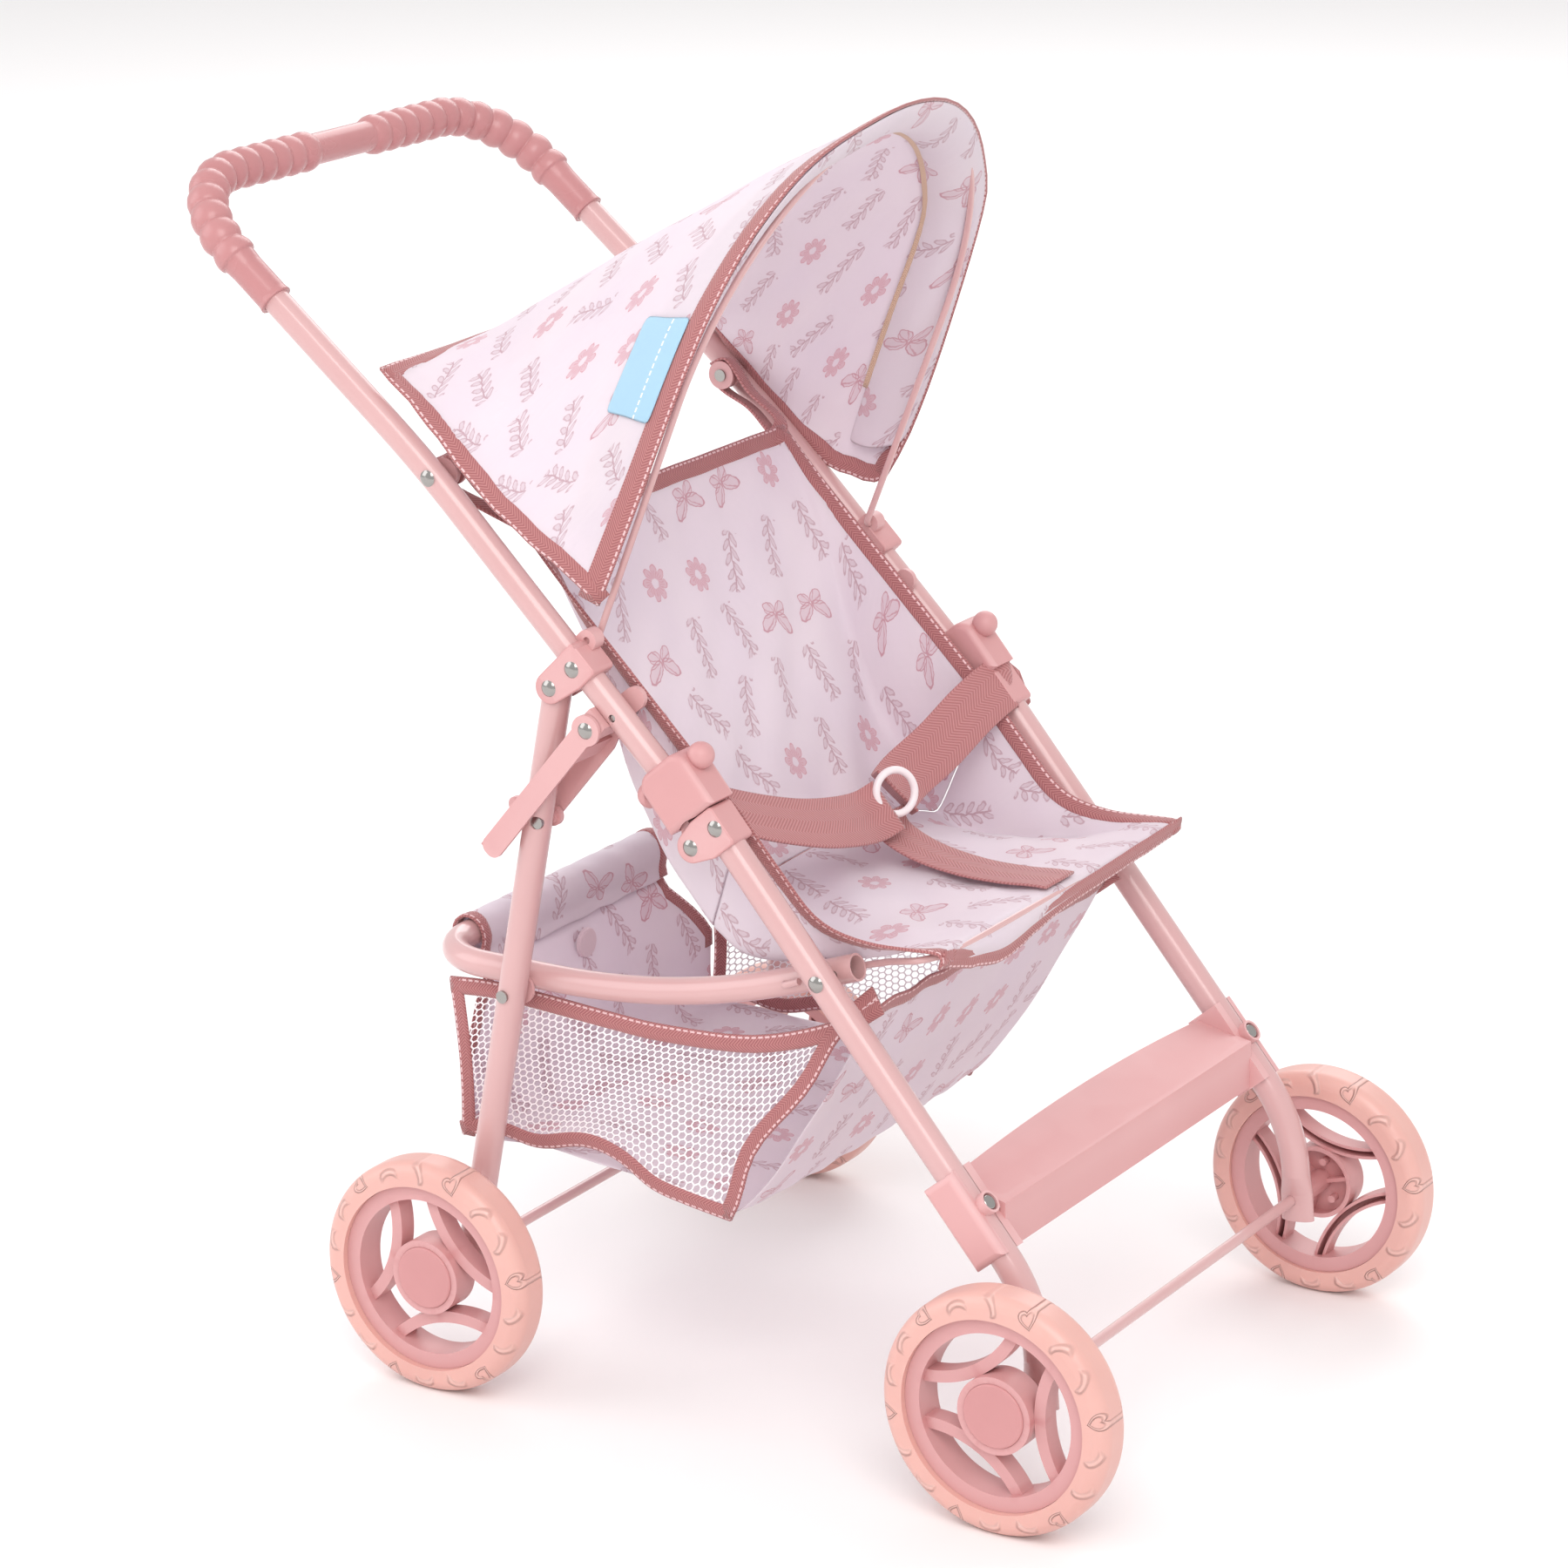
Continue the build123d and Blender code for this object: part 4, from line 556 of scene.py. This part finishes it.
def strapAlong(name, line, faceUp, material, width, thickness=0.0013):
    # flat webbing: its face points along faceUp at each point of the line
    verts, uvs, faces = [], [], []
    travelled = 0.0
    count = len(line)
    profile = [(-0.5, 0.35), (-0.47, 0.5), (-0.2, 0.5), (0.2, 0.5), (0.47, 0.5), (0.5, 0.35),
               (0.5, -0.35), (0.47, -0.5), (0.2, -0.5), (-0.2, -0.5), (-0.47, -0.5), (-0.5, -0.35)]
    for i, point in enumerate(line):
        forward = (line[min(i + 1, count - 1)] - line[max(i - 1, 0)]).normalized()
        up = (faceUp[i] - forward * faceUp[i].dot(forward)).normalized()
        side = forward.cross(up).normalized()
        if i:
            travelled += (point - line[i - 1]).length
        for across, lift in profile:
            verts.append(point + side * (across * width) + up * (lift * thickness))
            uvs.append((travelled, (across + 0.5) * width))
    size = len(profile)
    for i in range(count - 1):
        for k in range(size):
            a = i * size + k
            b = i * size + (k + 1) % size
            faces.append((a, b, b + size, a + size))
    faces.append(tuple(range(size - 1, -1, -1)))
    faces.append(tuple(range((count - 1) * size, count * size)))
    return finishMesh(name, verts, faces, uvs, material)


def ripple(a, b, seed):
    # a small repeatable unevenness for hand-sewn cloth
    return math.sin(a * 1.7 + seed) * math.sin(b * 2.3 + seed * 1.9) + 0.5 * math.sin(a * 4.1 + b * 3.3 + seed * 0.7)


# ---- canopy

canopyShape = {
    "flat": (0.57, 0.23), "flatArea": 0.067, "facingFlat": (0.52, 0.03),
    "lean": 68.0, "pivot": (-217.3, 341.0), "sections": 22, "columns": 49,
    "label": {"across": (0.15, 0.095), "back": (0.055, 0.16)},
    "facing": 27.0,
    "hoop": [(-113, 17), (-112.5, 68), (-112.5, 126), (-108, 162), (-95, 192), (-69, 217), (-29, 230), (2, 233.5), (35, 228),
             (64, 213), (89, 188), (104, 162), (115, 90), (116, 45), (109, 23)],
    "nearHem": [(-211, 357), (-222, 368), (-239, 380), (-261, 394), (-287, 419), (-319, 446)],
    "farHem": [(-212, 362), (-222, 359), (-234, 361), (-248, 366), (-276, 389), (-320, 442)],
}


def hoopPoint(y, t, push=0.0):
    lean = math.radians(canopyShape["lean"])
    x, z = canopyShape["pivot"]
    return place(x + t * math.cos(lean) + push * math.sin(lean), y, z + t * math.sin(lean) - push * math.cos(lean))


def buildCanopy():
    shape = canopyShape
    hoop = resample(smoothLine([hoopPoint(y, t, 3.4) for y, t in shape["hoop"]], 8), shape["columns"])
    rear = [place(-322, -121 + 242 * j / (shape["columns"] - 1), 446) for j in range(shape["columns"])]
    near = resample(smoothLine([place(x, -118 - 4 * math.sin(i / 5 * math.pi), z) for i, (x, z) in enumerate(shape["nearHem"])], 8), shape["sections"])
    far = resample(smoothLine([place(x, 117 + 3 * math.sin(i / 5 * math.pi), z) for i, (x, z) in enumerate(shape["farHem"])], 8), shape["sections"])
    rows = []
    for i in range(shape["sections"]):
        s = i / (shape["sections"] - 1)
        row = []
        for j in range(shape["columns"]):
            q = j / (shape["columns"] - 1)
            base = hoop[j].lerp(rear[j], s)
            edge = (near[i] - hoop[0].lerp(rear[0], s)) * (1 - q) ** 3 + (far[i] - hoop[-1].lerp(rear[-1], s)) * q ** 3
            crown = math.sin(math.pi * s) * math.sin(math.pi * q)
            swell = Vector((-0.25, 0, 1.0)) * (0.005 * crown)
            slack = 0.0009 * ripple(s * 9, q * 14, 1.3) * min(1.0, 6 * s * (1 - s) + 0.25)
            row.append(base + edge + swell + Vector((0.3, 0.2 * (q - 0.5), 1.0)) * slack)
        rows.append(row)
    hood = sheetFromRows("canopyCloth", rows, printCloth, turn=0.7)
    return hood, rows


canopyCloth, canopyRows = buildCanopy()


def edgeTape(name, line, centreLine, width=0.0085):
    inward = [b - a for a, b in zip(line, centreLine)]
    return tapeAlong(name, line, inward, bindingTape, width)


def rideCanopy(piece):
    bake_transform(piece)
    return piece


canopyPieces = [
    edgeTape("canopyFrontBinding", canopyRows[0], canopyRows[2], 0.0105),
    edgeTape("canopyRearBinding", canopyRows[-1], canopyRows[-3], 0.0085),
    edgeTape("canopyNearBinding", [r[0] for r in canopyRows], [r[2] for r in canopyRows]),
    edgeTape("canopyFarBinding", [r[-1] for r in canopyRows], [r[-3] for r in canopyRows]),
]


def onHood(back, across):
    # a point of the hood, by its share from the front edge and its share from the near end, with the way out of the cloth
    fi, fj = back * (canopyShape["sections"] - 1), across * (canopyShape["columns"] - 1)
    a, b = min(int(fi), canopyShape["sections"] - 2), min(int(fj), canopyShape["columns"] - 2)
    first, second = canopyRows[a][b].lerp(canopyRows[a + 1][b], fi - a), canopyRows[a][b + 1].lerp(canopyRows[a + 1][b + 1], fi - a)
    point = first.lerp(second, fj - b)
    out = (canopyRows[a][b + 1] - canopyRows[a][b]).cross(canopyRows[a + 1][b] - canopyRows[a][b]).normalized()
    if out.dot(point - place(-225, 0, 425)) < 0:
        out = -out
    return point, out


def buildFacing():
    # the facing is sewn inside the front edge and makes the pocket that the hoop's wire runs in
    rows = []
    for i in range(8):
        t = i / 7
        row = []
        for j in range(canopyShape["columns"]):
            across = 0.03 + 0.94 * j / (canopyShape["columns"] - 1)
            deep = (canopyRows[-1][j] - canopyRows[0][j]).length * 1000
            point, out = onHood(min(0.3, canopyShape["facing"] / deep) * t, across)
            row.append(point - out * (0.0008 + 0.0062 * math.sin(math.pi * min(1.0, t * 1.05)) ** 0.7))
        rows.append(row)
    facing = sheetFromRows("canopyFacing", rows, printCloth, turn=0.7)
    line, ups = [], []
    for point in resample(rows[-1][3:-3], 130):
        line.append(point)
    for k in range(130):
        across = 0.03 + 0.94 * (3 + k / 129 * (canopyShape["columns"] - 7)) / (canopyShape["columns"] - 1)
        ups.append(-onHood(0.15, across)[1])
    seam = strapAlong("canopyFacingSeam", [p + u * 0.0008 for p, u in zip(line, ups)], ups, seamThread, 0.0026, 0.0007)
    return facing, seam


def buildLabel():
    # a plain woven label with a stitched line, sewn on the near side behind the front binding
    label = canopyShape["label"]
    rows = []
    for i in range(9):
        row = []
        for j in range(7):
            point, out = onHood(label["back"][0] + label["back"][1] * i / 8, label["across"][0] + label["across"][1] * j / 6)
            row.append(point + out * 0.0013)
        rows.append(row)
    return sheetFromRows("canopyLabel", rows, labelSatin, 0.0006, 1)


canopyFacing, facingSeam = buildFacing()
canopyPieces += [facingSeam, buildLabel()]
for piece in [canopyCloth, canopyFacing] + canopyPieces:
    rideCanopy(piece)
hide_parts("canopy")
print("canopy built")

# ---- seat

seatShape = {
    "backFlat": (0.31, 0.19), "backArea": 0.050, "baseFlat": (0.32, 0.15), "baseArea": 0.036,
    "columns": 49, "bottomHalf": 96.0, "wallStart": 0.76,
    "backMiddle": [(-259, 383), (-243, 346), (-221, 301), (-199, 256), (-186, 236), (-174, 227)],
    "backSide": [(-259, 383), (-240, 350), (-219, 293), (-202, 255), (-188, 232), (-172, 214)],
    "backEdge": [(-259, 383), (-238, 360), (-209, 331), (-185, 307), (-164, 286), (-150, 272)],
    "baseMiddle": [(-174, 227), (-150, 225), (-120, 224), (-92, 223), (-60, 226.5)],
    "baseSide": [(-172, 214), (-158, 205), (-140, 204), (-104, 213), (-60, 226.5)],
    "edge": [(-150, 272), (-131, 250), (-113, 232), (-90, 226), (-58, 227)],
    "lip": [(-108, 5), (-96, 7), (-75, 13), (-50, 17), (-25, 13), (0, 9.5), (30, 8), (60, 6.5), (108, 4)],
}


def trough(middle, side, edge, columns, bottomHalf, wallStart, edgeHalf=105.0):
    # flat or sagging across the bottom, with steep side walls up to the two edges
    row = []
    for j in range(columns):
        s = -1 + 2 * j / (columns - 1)
        far = abs(s)
        if far < wallStart:
            t = far / wallStart
            y = bottomHalf * t
            share = t ** 3.2
            x, z = middle[0] + (side[0] - middle[0]) * share, middle[1] + (side[1] - middle[1]) * share
        else:
            t = (far - wallStart) / (1 - wallStart)
            y = bottomHalf + (edgeHalf - bottomHalf) * t ** 1.6
            x, z = side[0] + (edge[0] - side[0]) * t, side[1] + (edge[1] - side[1]) * t
        row.append(place(x, math.copysign(y, s), z))
    return row


def alongPairs(points, count):
    line = resample(smoothLine([Vector((x, 0, z)) for x, z in points], 8), count)
    return [(p.x, p.z) for p in line]


def buildSeatPanel(middle, side, edge, count, seed, first, last):
    shape = seatShape
    middle, side, edge = (alongPairs(shape[k], count) for k in (middle, side, edge))
    rows = []
    for i in range(count):
        s = i / (count - 1)
        row = trough(middle[i], side[i], edge[i], shape["columns"], shape["bottomHalf"], shape["wallStart"])
        for j, p in enumerate(row):
            inner = 1 - abs(-1 + 2 * j / (shape["columns"] - 1)) ** 6
            loose = min(1, 0.15 + s * first, 0.15 + (1 - s) * last)
            p += Vector((0.5, 0, 0.7)) * (0.0015 * inner * loose * ripple(s * 7, j * 0.3, seed))
            p += Vector((0.5, 0, 0.7)) * (0.0009 * inner * loose * math.sin(j * 0.55 + s * 9 + seed))
        rows.append(row)
    return rows


def addLip(rows):
    # the front of the seat goes over the wire and hangs a little in front of it
    drops = smoothLine([Vector((y, d, 0)) for y, d in seatShape["lip"]], 8)
    for k, (forward, share) in enumerate(((3.2, 0.0), (4.6, 0.22), (4.8, 0.6), (3.6, 1.0))):
        row = []
        for p in rows[-1 - k]:
            y = p.y * 1000
            drop = min(drops, key=lambda d: abs(d.x - y)).y
            row.append(place(-58 + forward, y, 226.8 - 0.6 * (k > 0) - drop * share))
        rows.append(row)
    return rows


backRows = buildSeatPanel("backMiddle", "backSide", "backEdge", 28, 0.4, 8, 8)
baseRows = buildSeatPanel("baseMiddle", "baseSide", "edge", 22, 2.2, 8, 6)
baseRows[0] = [p.copy() for p in backRows[-1]]
addLip(baseRows)
seatBack = sheetFromRows("seatBackCloth", backRows, printCloth)
seatBase = sheetFromRows("seatBaseCloth", baseRows, printCloth)
creasePoint = place(-176, 0, 228)
backTapes = [edgeTape("seatTopBinding", backRows[0], backRows[2], 0.0085),
             edgeTape("seatBackNearBinding", [r[0] for r in backRows], [r[2] for r in backRows], 0.0075),
             edgeTape("seatBackFarBinding", [r[-1] for r in backRows], [r[-3] for r in backRows], 0.0075)]
baseTapes = [edgeTape("seatFrontBinding", baseRows[-1], baseRows[-3], 0.0085),
             edgeTape("seatBaseNearBinding", [r[0] for r in baseRows], [r[2] for r in baseRows], 0.0075),
             edgeTape("seatBaseFarBinding", [r[-1] for r in baseRows], [r[-3] for r in baseRows], 0.0075)]
for piece in [seatBack] + backTapes:
    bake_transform(piece)
for piece in [seatBase] + baseTapes:
    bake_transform(piece)
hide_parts("seat_back")
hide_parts("seat_base")


def buildSeatLoops():
    # two tape loops hang the seat's top corners from the bosses on the handle
    made = []
    for side in (-1, 1):
        corner = backRows[0][0] if side < 0 else backRows[0][-1]
        line = smoothLine([corner + Vector((0.001, -side * 0.012, -0.004)), corner + Vector((-0.002, side * 0.001, 0.002)),
                           place(-277, side * 106.5, 397), place(-290, side * 108.3, 410.2), place(-298.5, side * 108.3, 402),
                           place(-291, side * 108.0, 395.2), place(-276, side * 106, 389), corner + Vector((-0.001, -side * 0.006, -0.003))], 6)
        up = [Vector((0.5, 0.1 * side, 0.8)) for _ in line]
        loop = strapAlong("seatLoop" + ("Right" if side < 0 else "Left"), line, up, beltWebbing, 0.007, 0.0012)
        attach(loop, "handle_frame")
        made.append(loop)
    return made


buildSeatLoops()
print("seat built")

# ---- basket

basketShape = {
    "panelFlat": (0.204, 0.405), "panelArea": 0.078, "netFlat": (0.24, 0.137), "netArea": 0.0133,
    "wrap": [(-306.6, 168), (-307.5, 173.5), (-306.2, 181), (-309, 188.3), (-315, 190.3), (-321, 187), (-322.3, 181), (-319, 174.5), (-312, 170), (-306, 163)],
    "floor": [(-306, 163), (-300, 140), (-300, 108), (-294, 99.5), (-262, 101), (-216, 98), (-186, 92), (-164, 88), (-155, 92), (-140, 110), (-120, 140), (-103, 168), (-88, 196)],
    "netTop": [(-304, 172), (-280, 174), (-250, 173), (-218, 171), (-191, 170), (-147, 173), (-108, 186), (-86, 201)],
    "netBottom": [(-300, 99.5), (-282, 103), (-261, 102), (-236, 105), (-215, 103), (-198, 95), (-180, 90), (-162, 87.5)],
}


def buildBasket():
    shape = basketShape
    made = []
    strip = resample(smoothLine([Vector((x, 0, z)) for x, z in shape["wrap"]], 6), 26)
    strip += resample(smoothLine([Vector((x, 0, z)) for x, z in shape["floor"]], 6), 46)[1:]
    rows = []
    for i, p in enumerate(strip):
        s = max(0.0, (i - 25) / 45)
        half = 74 + (101 - 74) * min(1.0, s / 0.09) ** 0.8
        sag = 3.5 * math.sin(math.pi * s)
        rows.append([place(p.x, half * (-1 + 2 * j / 36), p.z - sag * math.sin(math.pi * j / 36) ** 0.8
                           + (0.5 if i < 26 else 1.1) * ripple(i * 0.22, j * 0.4, 5.0)) for j in range(37)])
    panel = sheetFromRows("basketPrintedPanel", rows, printCloth, turn=0.2)
    panelTapes = [edgeTape("basketFrontBinding", rows[-1], rows[-3], 0.008),
                  edgeTape("basketFlapNearBinding", [r[0] for r in rows[:31]], [r[1] for r in rows[:31]], 0.007),
                  edgeTape("basketFlapFarBinding", [r[-1] for r in rows[:31]], [r[-2] for r in rows[:31]], 0.007)]
    made += [panel] + panelTapes
    for side in (-1, 1):
        word = "Near" if side < 0 else "Far"
        top = resample(smoothLine([Vector((x, 0, z)) for x, z in shape["netTop"]], 6), 34)
        low = resample(smoothLine([Vector((x, 0, z)) for x, z in shape["netBottom"]], 6), 34)
        rows = []
        for i in range(15):
            t = i / 14
            row = []
            for j in range(34):
                a, b = top[j], low[j]
                u = j / 33
                y = side * (102.5 + 3.0 * math.sin(math.pi * t) * math.sin(math.pi * u) + 1.2 * math.sin(5.5 * u + 3.5 * t))
                pull = (5.5 * math.sin(math.pi * t) + 2.6 * math.sin(3.6 * math.pi * t)) * u ** 5
                tuck = 3.0 * math.sin(math.pi * t) * (1 - u) ** 5
                sag = 1.6 * math.sin(14 * u + 1.0) * t ** 2 * math.sin(math.pi * u)
                row.append(place(a.x + (b.x - a.x) * t - pull + tuck, y, a.z + (b.z - a.z) * t + sag))
            rows.append(row)
        netPiece = sheetFromRows("basketNet" + word, rows, net, 0.0)
        inner = [r[1] for r in rows]
        netTapes = [edgeTape("basketTopBinding" + word, rows[0], rows[2], 0.008),
                    edgeTape("basketBottomBinding" + word, rows[-1], rows[-3], 0.007),
                    edgeTape("basketCornerBinding" + word, [r[0] for r in rows], inner, 0.007),
                    edgeTape("basketSideBinding" + word, [r[-1] for r in rows], [r[-2] for r in rows], 0.007)]
        made += [netPiece] + netTapes
    for piece in made:
        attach(piece, "basket_frame")
    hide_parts("basket")
    return made


buildBasket()
print("basket built")

# ---- belts

beltShape = {
    "width": 0.025,
    "near": [(-156, -109, 276), (-152, -100, 271), (-147, -82, 264), (-142, -60, 257), (-140, -38, 252), (-140, -18, 249), (-138, -5, 251)],
    "far": [(-172, 121, 262), (-160, 127, 262), (-148, 122, 272), (-148, 112, 275), (-151, 90, 268), (-154, 65, 257), (-156, 40, 249.5), (-150, 18, 248), (-140, 6, 254)],
    "crotch": [(-56, 0, 228.8), (-64, 0, 228.6), (-80, 0, 227.4), (-100, 0, 227.6), (-122, 0, 231), (-138, 0, 238), (-141, 0, 246)],
}


def buildBelts():
    shape = beltShape
    made = []
    for name, points, up in (("lapBeltNear", shape["near"], Vector((0.76, 0.25, 0.64))), ("lapBeltFar", shape["far"], Vector((0.76, -0.35, 0.64)))):
        line = smoothLine([place(*p) for p in points], 8)
        widthNow = shape["width"]
        ups = [up for _ in line]
        made.append(strapAlong(name, line, ups, beltWebbing, widthNow))
    line = smoothLine([place(*p) for p in shape["crotch"]], 8)
    made.append(strapAlong("crotchStrap", line, [Vector((0.1, 0, 1)) for _ in line], beltWebbing, shape["width"]))
    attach(made[0], "front_frame")
    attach(made[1], "front_frame")
    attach(made[2], "basket_frame")
    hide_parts("lap_belt_right")
    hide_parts("lap_belt_left")
    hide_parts("crotch_strap")


buildBelts()
print("belts built")

# ---- handle grip

gripShape = {"inner": 6.1, "cuff": 7.3, "valley": 7.2, "crest": 9.1, "middle": 7.0, "pitch": 10.6, "corner": 42.0, "halfWidth": 118.5,
             "start": (-372.8, 470.0), "top": (-426.6, 514.7), "plainHalf": 21.0}


def gripPath():
    shape = gripShape
    up = Vector((shape["top"][0] - shape["start"][0], 0, shape["top"][1] - shape["start"][1]))
    length = up.length
    up.normalize()
    corner, half = shape["corner"], shape["halfWidth"]
    points = []
    steps = 40
    for i in range(steps):
        points.append((-half, (length - corner) * i / steps))
    for i in range(steps):
        turn = math.pi / 2 * i / steps
        points.append((-half + corner - corner * math.cos(turn), length - corner + corner * math.sin(turn)))
    for i in range(1, 2 * steps):
        points.append((-half + corner + (2 * half - 2 * corner) * i / (2 * steps), length))
    for i in range(steps, -1, -1):
        turn = math.pi / 2 * i / steps
        points.append((half - corner + corner * math.cos(turn), length - corner + corner * math.sin(turn)))
    for i in range(steps - 1, -1, -1):
        points.append((half, (length - corner) * i / steps))
    line = [place(shape["start"][0], 0, shape["start"][1]) + up * (a / 1000) + Vector((0, y / 1000, 0)) for y, a in points]
    return resample(line, 700), up


def buildGrip():
    shape = gripShape
    line, up = gripPath()
    total = sum((b - a).length for a, b in zip(line, line[1:])) * 1000
    normal = Vector((0, 1, 0)).cross(up).normalized()
    ring = 20
    verts, uvs, faces = [], [], []
    travelled = 0.0
    for i, point in enumerate(line):
        if i:
            travelled += (point - line[i - 1]).length * 1000
        fromEnd = min(travelled, total - travelled)
        fromMiddle = abs(travelled - total / 2)
        if fromEnd < 25:
            radius = shape["cuff"] + 0.45 * max(0.0, 1 - fromEnd / 2.5) + 0.5 * max(0, fromEnd - 19) / 6
        elif fromMiddle < shape["plainHalf"]:
            radius = shape["middle"]
        else:
            phase = (fromMiddle - shape["plainHalf"]) / shape["pitch"]
            wave = abs(math.sin(math.pi * phase)) ** 0.7
            radius = shape["valley"] + (shape["crest"] - shape["valley"]) * wave
        forward = (line[min(i + 1, len(line) - 1)] - line[max(i - 1, 0)]).normalized()
        side = forward.cross(normal).normalized()
        for k in range(ring):
            turn = math.tau * k / ring
            verts.append(point + (side * math.cos(turn) + normal * math.sin(turn)) * (radius / 1000))
            uvs.append((travelled / 1000, k / ring * 0.05))
    for i in range(len(line) - 1):
        for k in range(ring):
            a, b = i * ring + k, i * ring + (k + 1) % ring
            faces.append((a, b, b + ring, a + ring))
    for end, flip in ((0, False), (len(line) - 1, True)):
        inner = len(verts)
        forward = (line[min(end + 1, len(line) - 1)] - line[max(end - 1, 0)]).normalized()
        side = forward.cross(normal).normalized()
        for k in range(ring):
            turn = math.tau * k / ring
            verts.append(line[end] + (side * math.cos(turn) + normal * math.sin(turn)) * (shape["inner"] / 1000))
            uvs.append((0, 0))
        for k in range(ring):
            a, b = end * ring + k, end * ring + (k + 1) % ring
            c, d = inner + k, inner + (k + 1) % ring
            faces.append((a, b, d, c) if flip else (b, a, c, d))
    grip = finishMesh("handleGripRibs", verts, faces, uvs, gripPlastic)
    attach(grip, "handle_frame")
    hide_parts("handle_grip")
    return grip


buildGrip()
print("handle grip built")

# ---- floor, light and camera

stageValues = {"azimuth": 32.124, "elevation": 17.191, "roll": -0.628, "lens": 114.4, "camera": (1.1098, -1.7728, 0.8979)}


def buildStage():
    mesh = bpy.data.meshes.new("floor")
    size = 6.0
    mesh.from_pydata([(-size, -size, 0), (size, -size, 0), (size, size, 0), (-size, size, 0)], [], [(0, 1, 2, 3)])
    material, tree, shader = newMaterial("paintedFloor", {"Base Color": toLinear("#F4F2F2"), "Roughness": 0.75})
    mesh.materials.append(material)
    floor = bpy.data.objects.new("floor", mesh)
    bpy.context.scene.collection.objects.link(floor)
    for name, spot, size, power, colour in (
        ("keyLight", (1.6, -2.2, 2.6), 2.2, 62.0, (1.0, 0.985, 0.97)),
        ("fillLight", (-2.6, -1.8, 1.8), 2.6, 34.0, (0.97, 0.98, 1.0)),
        ("backLight", (-1.0, 2.6, 2.4), 2.4, 40.0, (1.0, 1.0, 1.0)),
    ):
        light = bpy.data.lights.new(name, "AREA")
        light.energy = power
        light.size = size
        light.color = colour
        lamp = bpy.data.objects.new(name, light)
        lamp.location = spot
        lamp.rotation_euler = (Vector((0, 0, 0.28)) - Vector(spot)).to_track_quat("-Z", "Y").to_euler()
        bpy.context.scene.collection.objects.link(lamp)
    world = bpy.data.worlds.new("studio")
    world.use_nodes = True
    world.node_tree.nodes["Background"].inputs["Color"].default_value = (1.0, 0.995, 0.995, 1.0)
    world.node_tree.nodes["Background"].inputs["Strength"].default_value = 0.85
    bpy.context.scene.world = world


def buildCamera():
    azimuth, elevation, roll = (math.radians(stageValues[k]) for k in ("azimuth", "elevation", "roll"))
    back = Vector((math.sin(azimuth) * math.cos(elevation), -math.cos(azimuth) * math.cos(elevation), math.sin(elevation)))
    right = (-back).cross(Vector((0, 0, 1))).normalized()
    up = right.cross(-back)
    rightRolled = right * math.cos(roll) + up * math.sin(roll)
    upRolled = up * math.cos(roll) - right * math.sin(roll)
    data = bpy.data.cameras.new("camera")
    data.lens = stageValues["lens"]
    data.sensor_width = 36.0
    data.clip_end = 50.0
    camera = bpy.data.objects.new("camera", data)
    basis = Matrix((rightRolled, upRolled, back)).transposed().to_4x4()
    basis.translation = Vector(stageValues["camera"])
    camera.matrix_world = basis
    bpy.context.scene.collection.objects.link(camera)
    bpy.context.scene.camera = camera


buildStage()
buildCamera()
bpy.context.scene.view_settings.view_transform = "Standard"
print("stage ready")
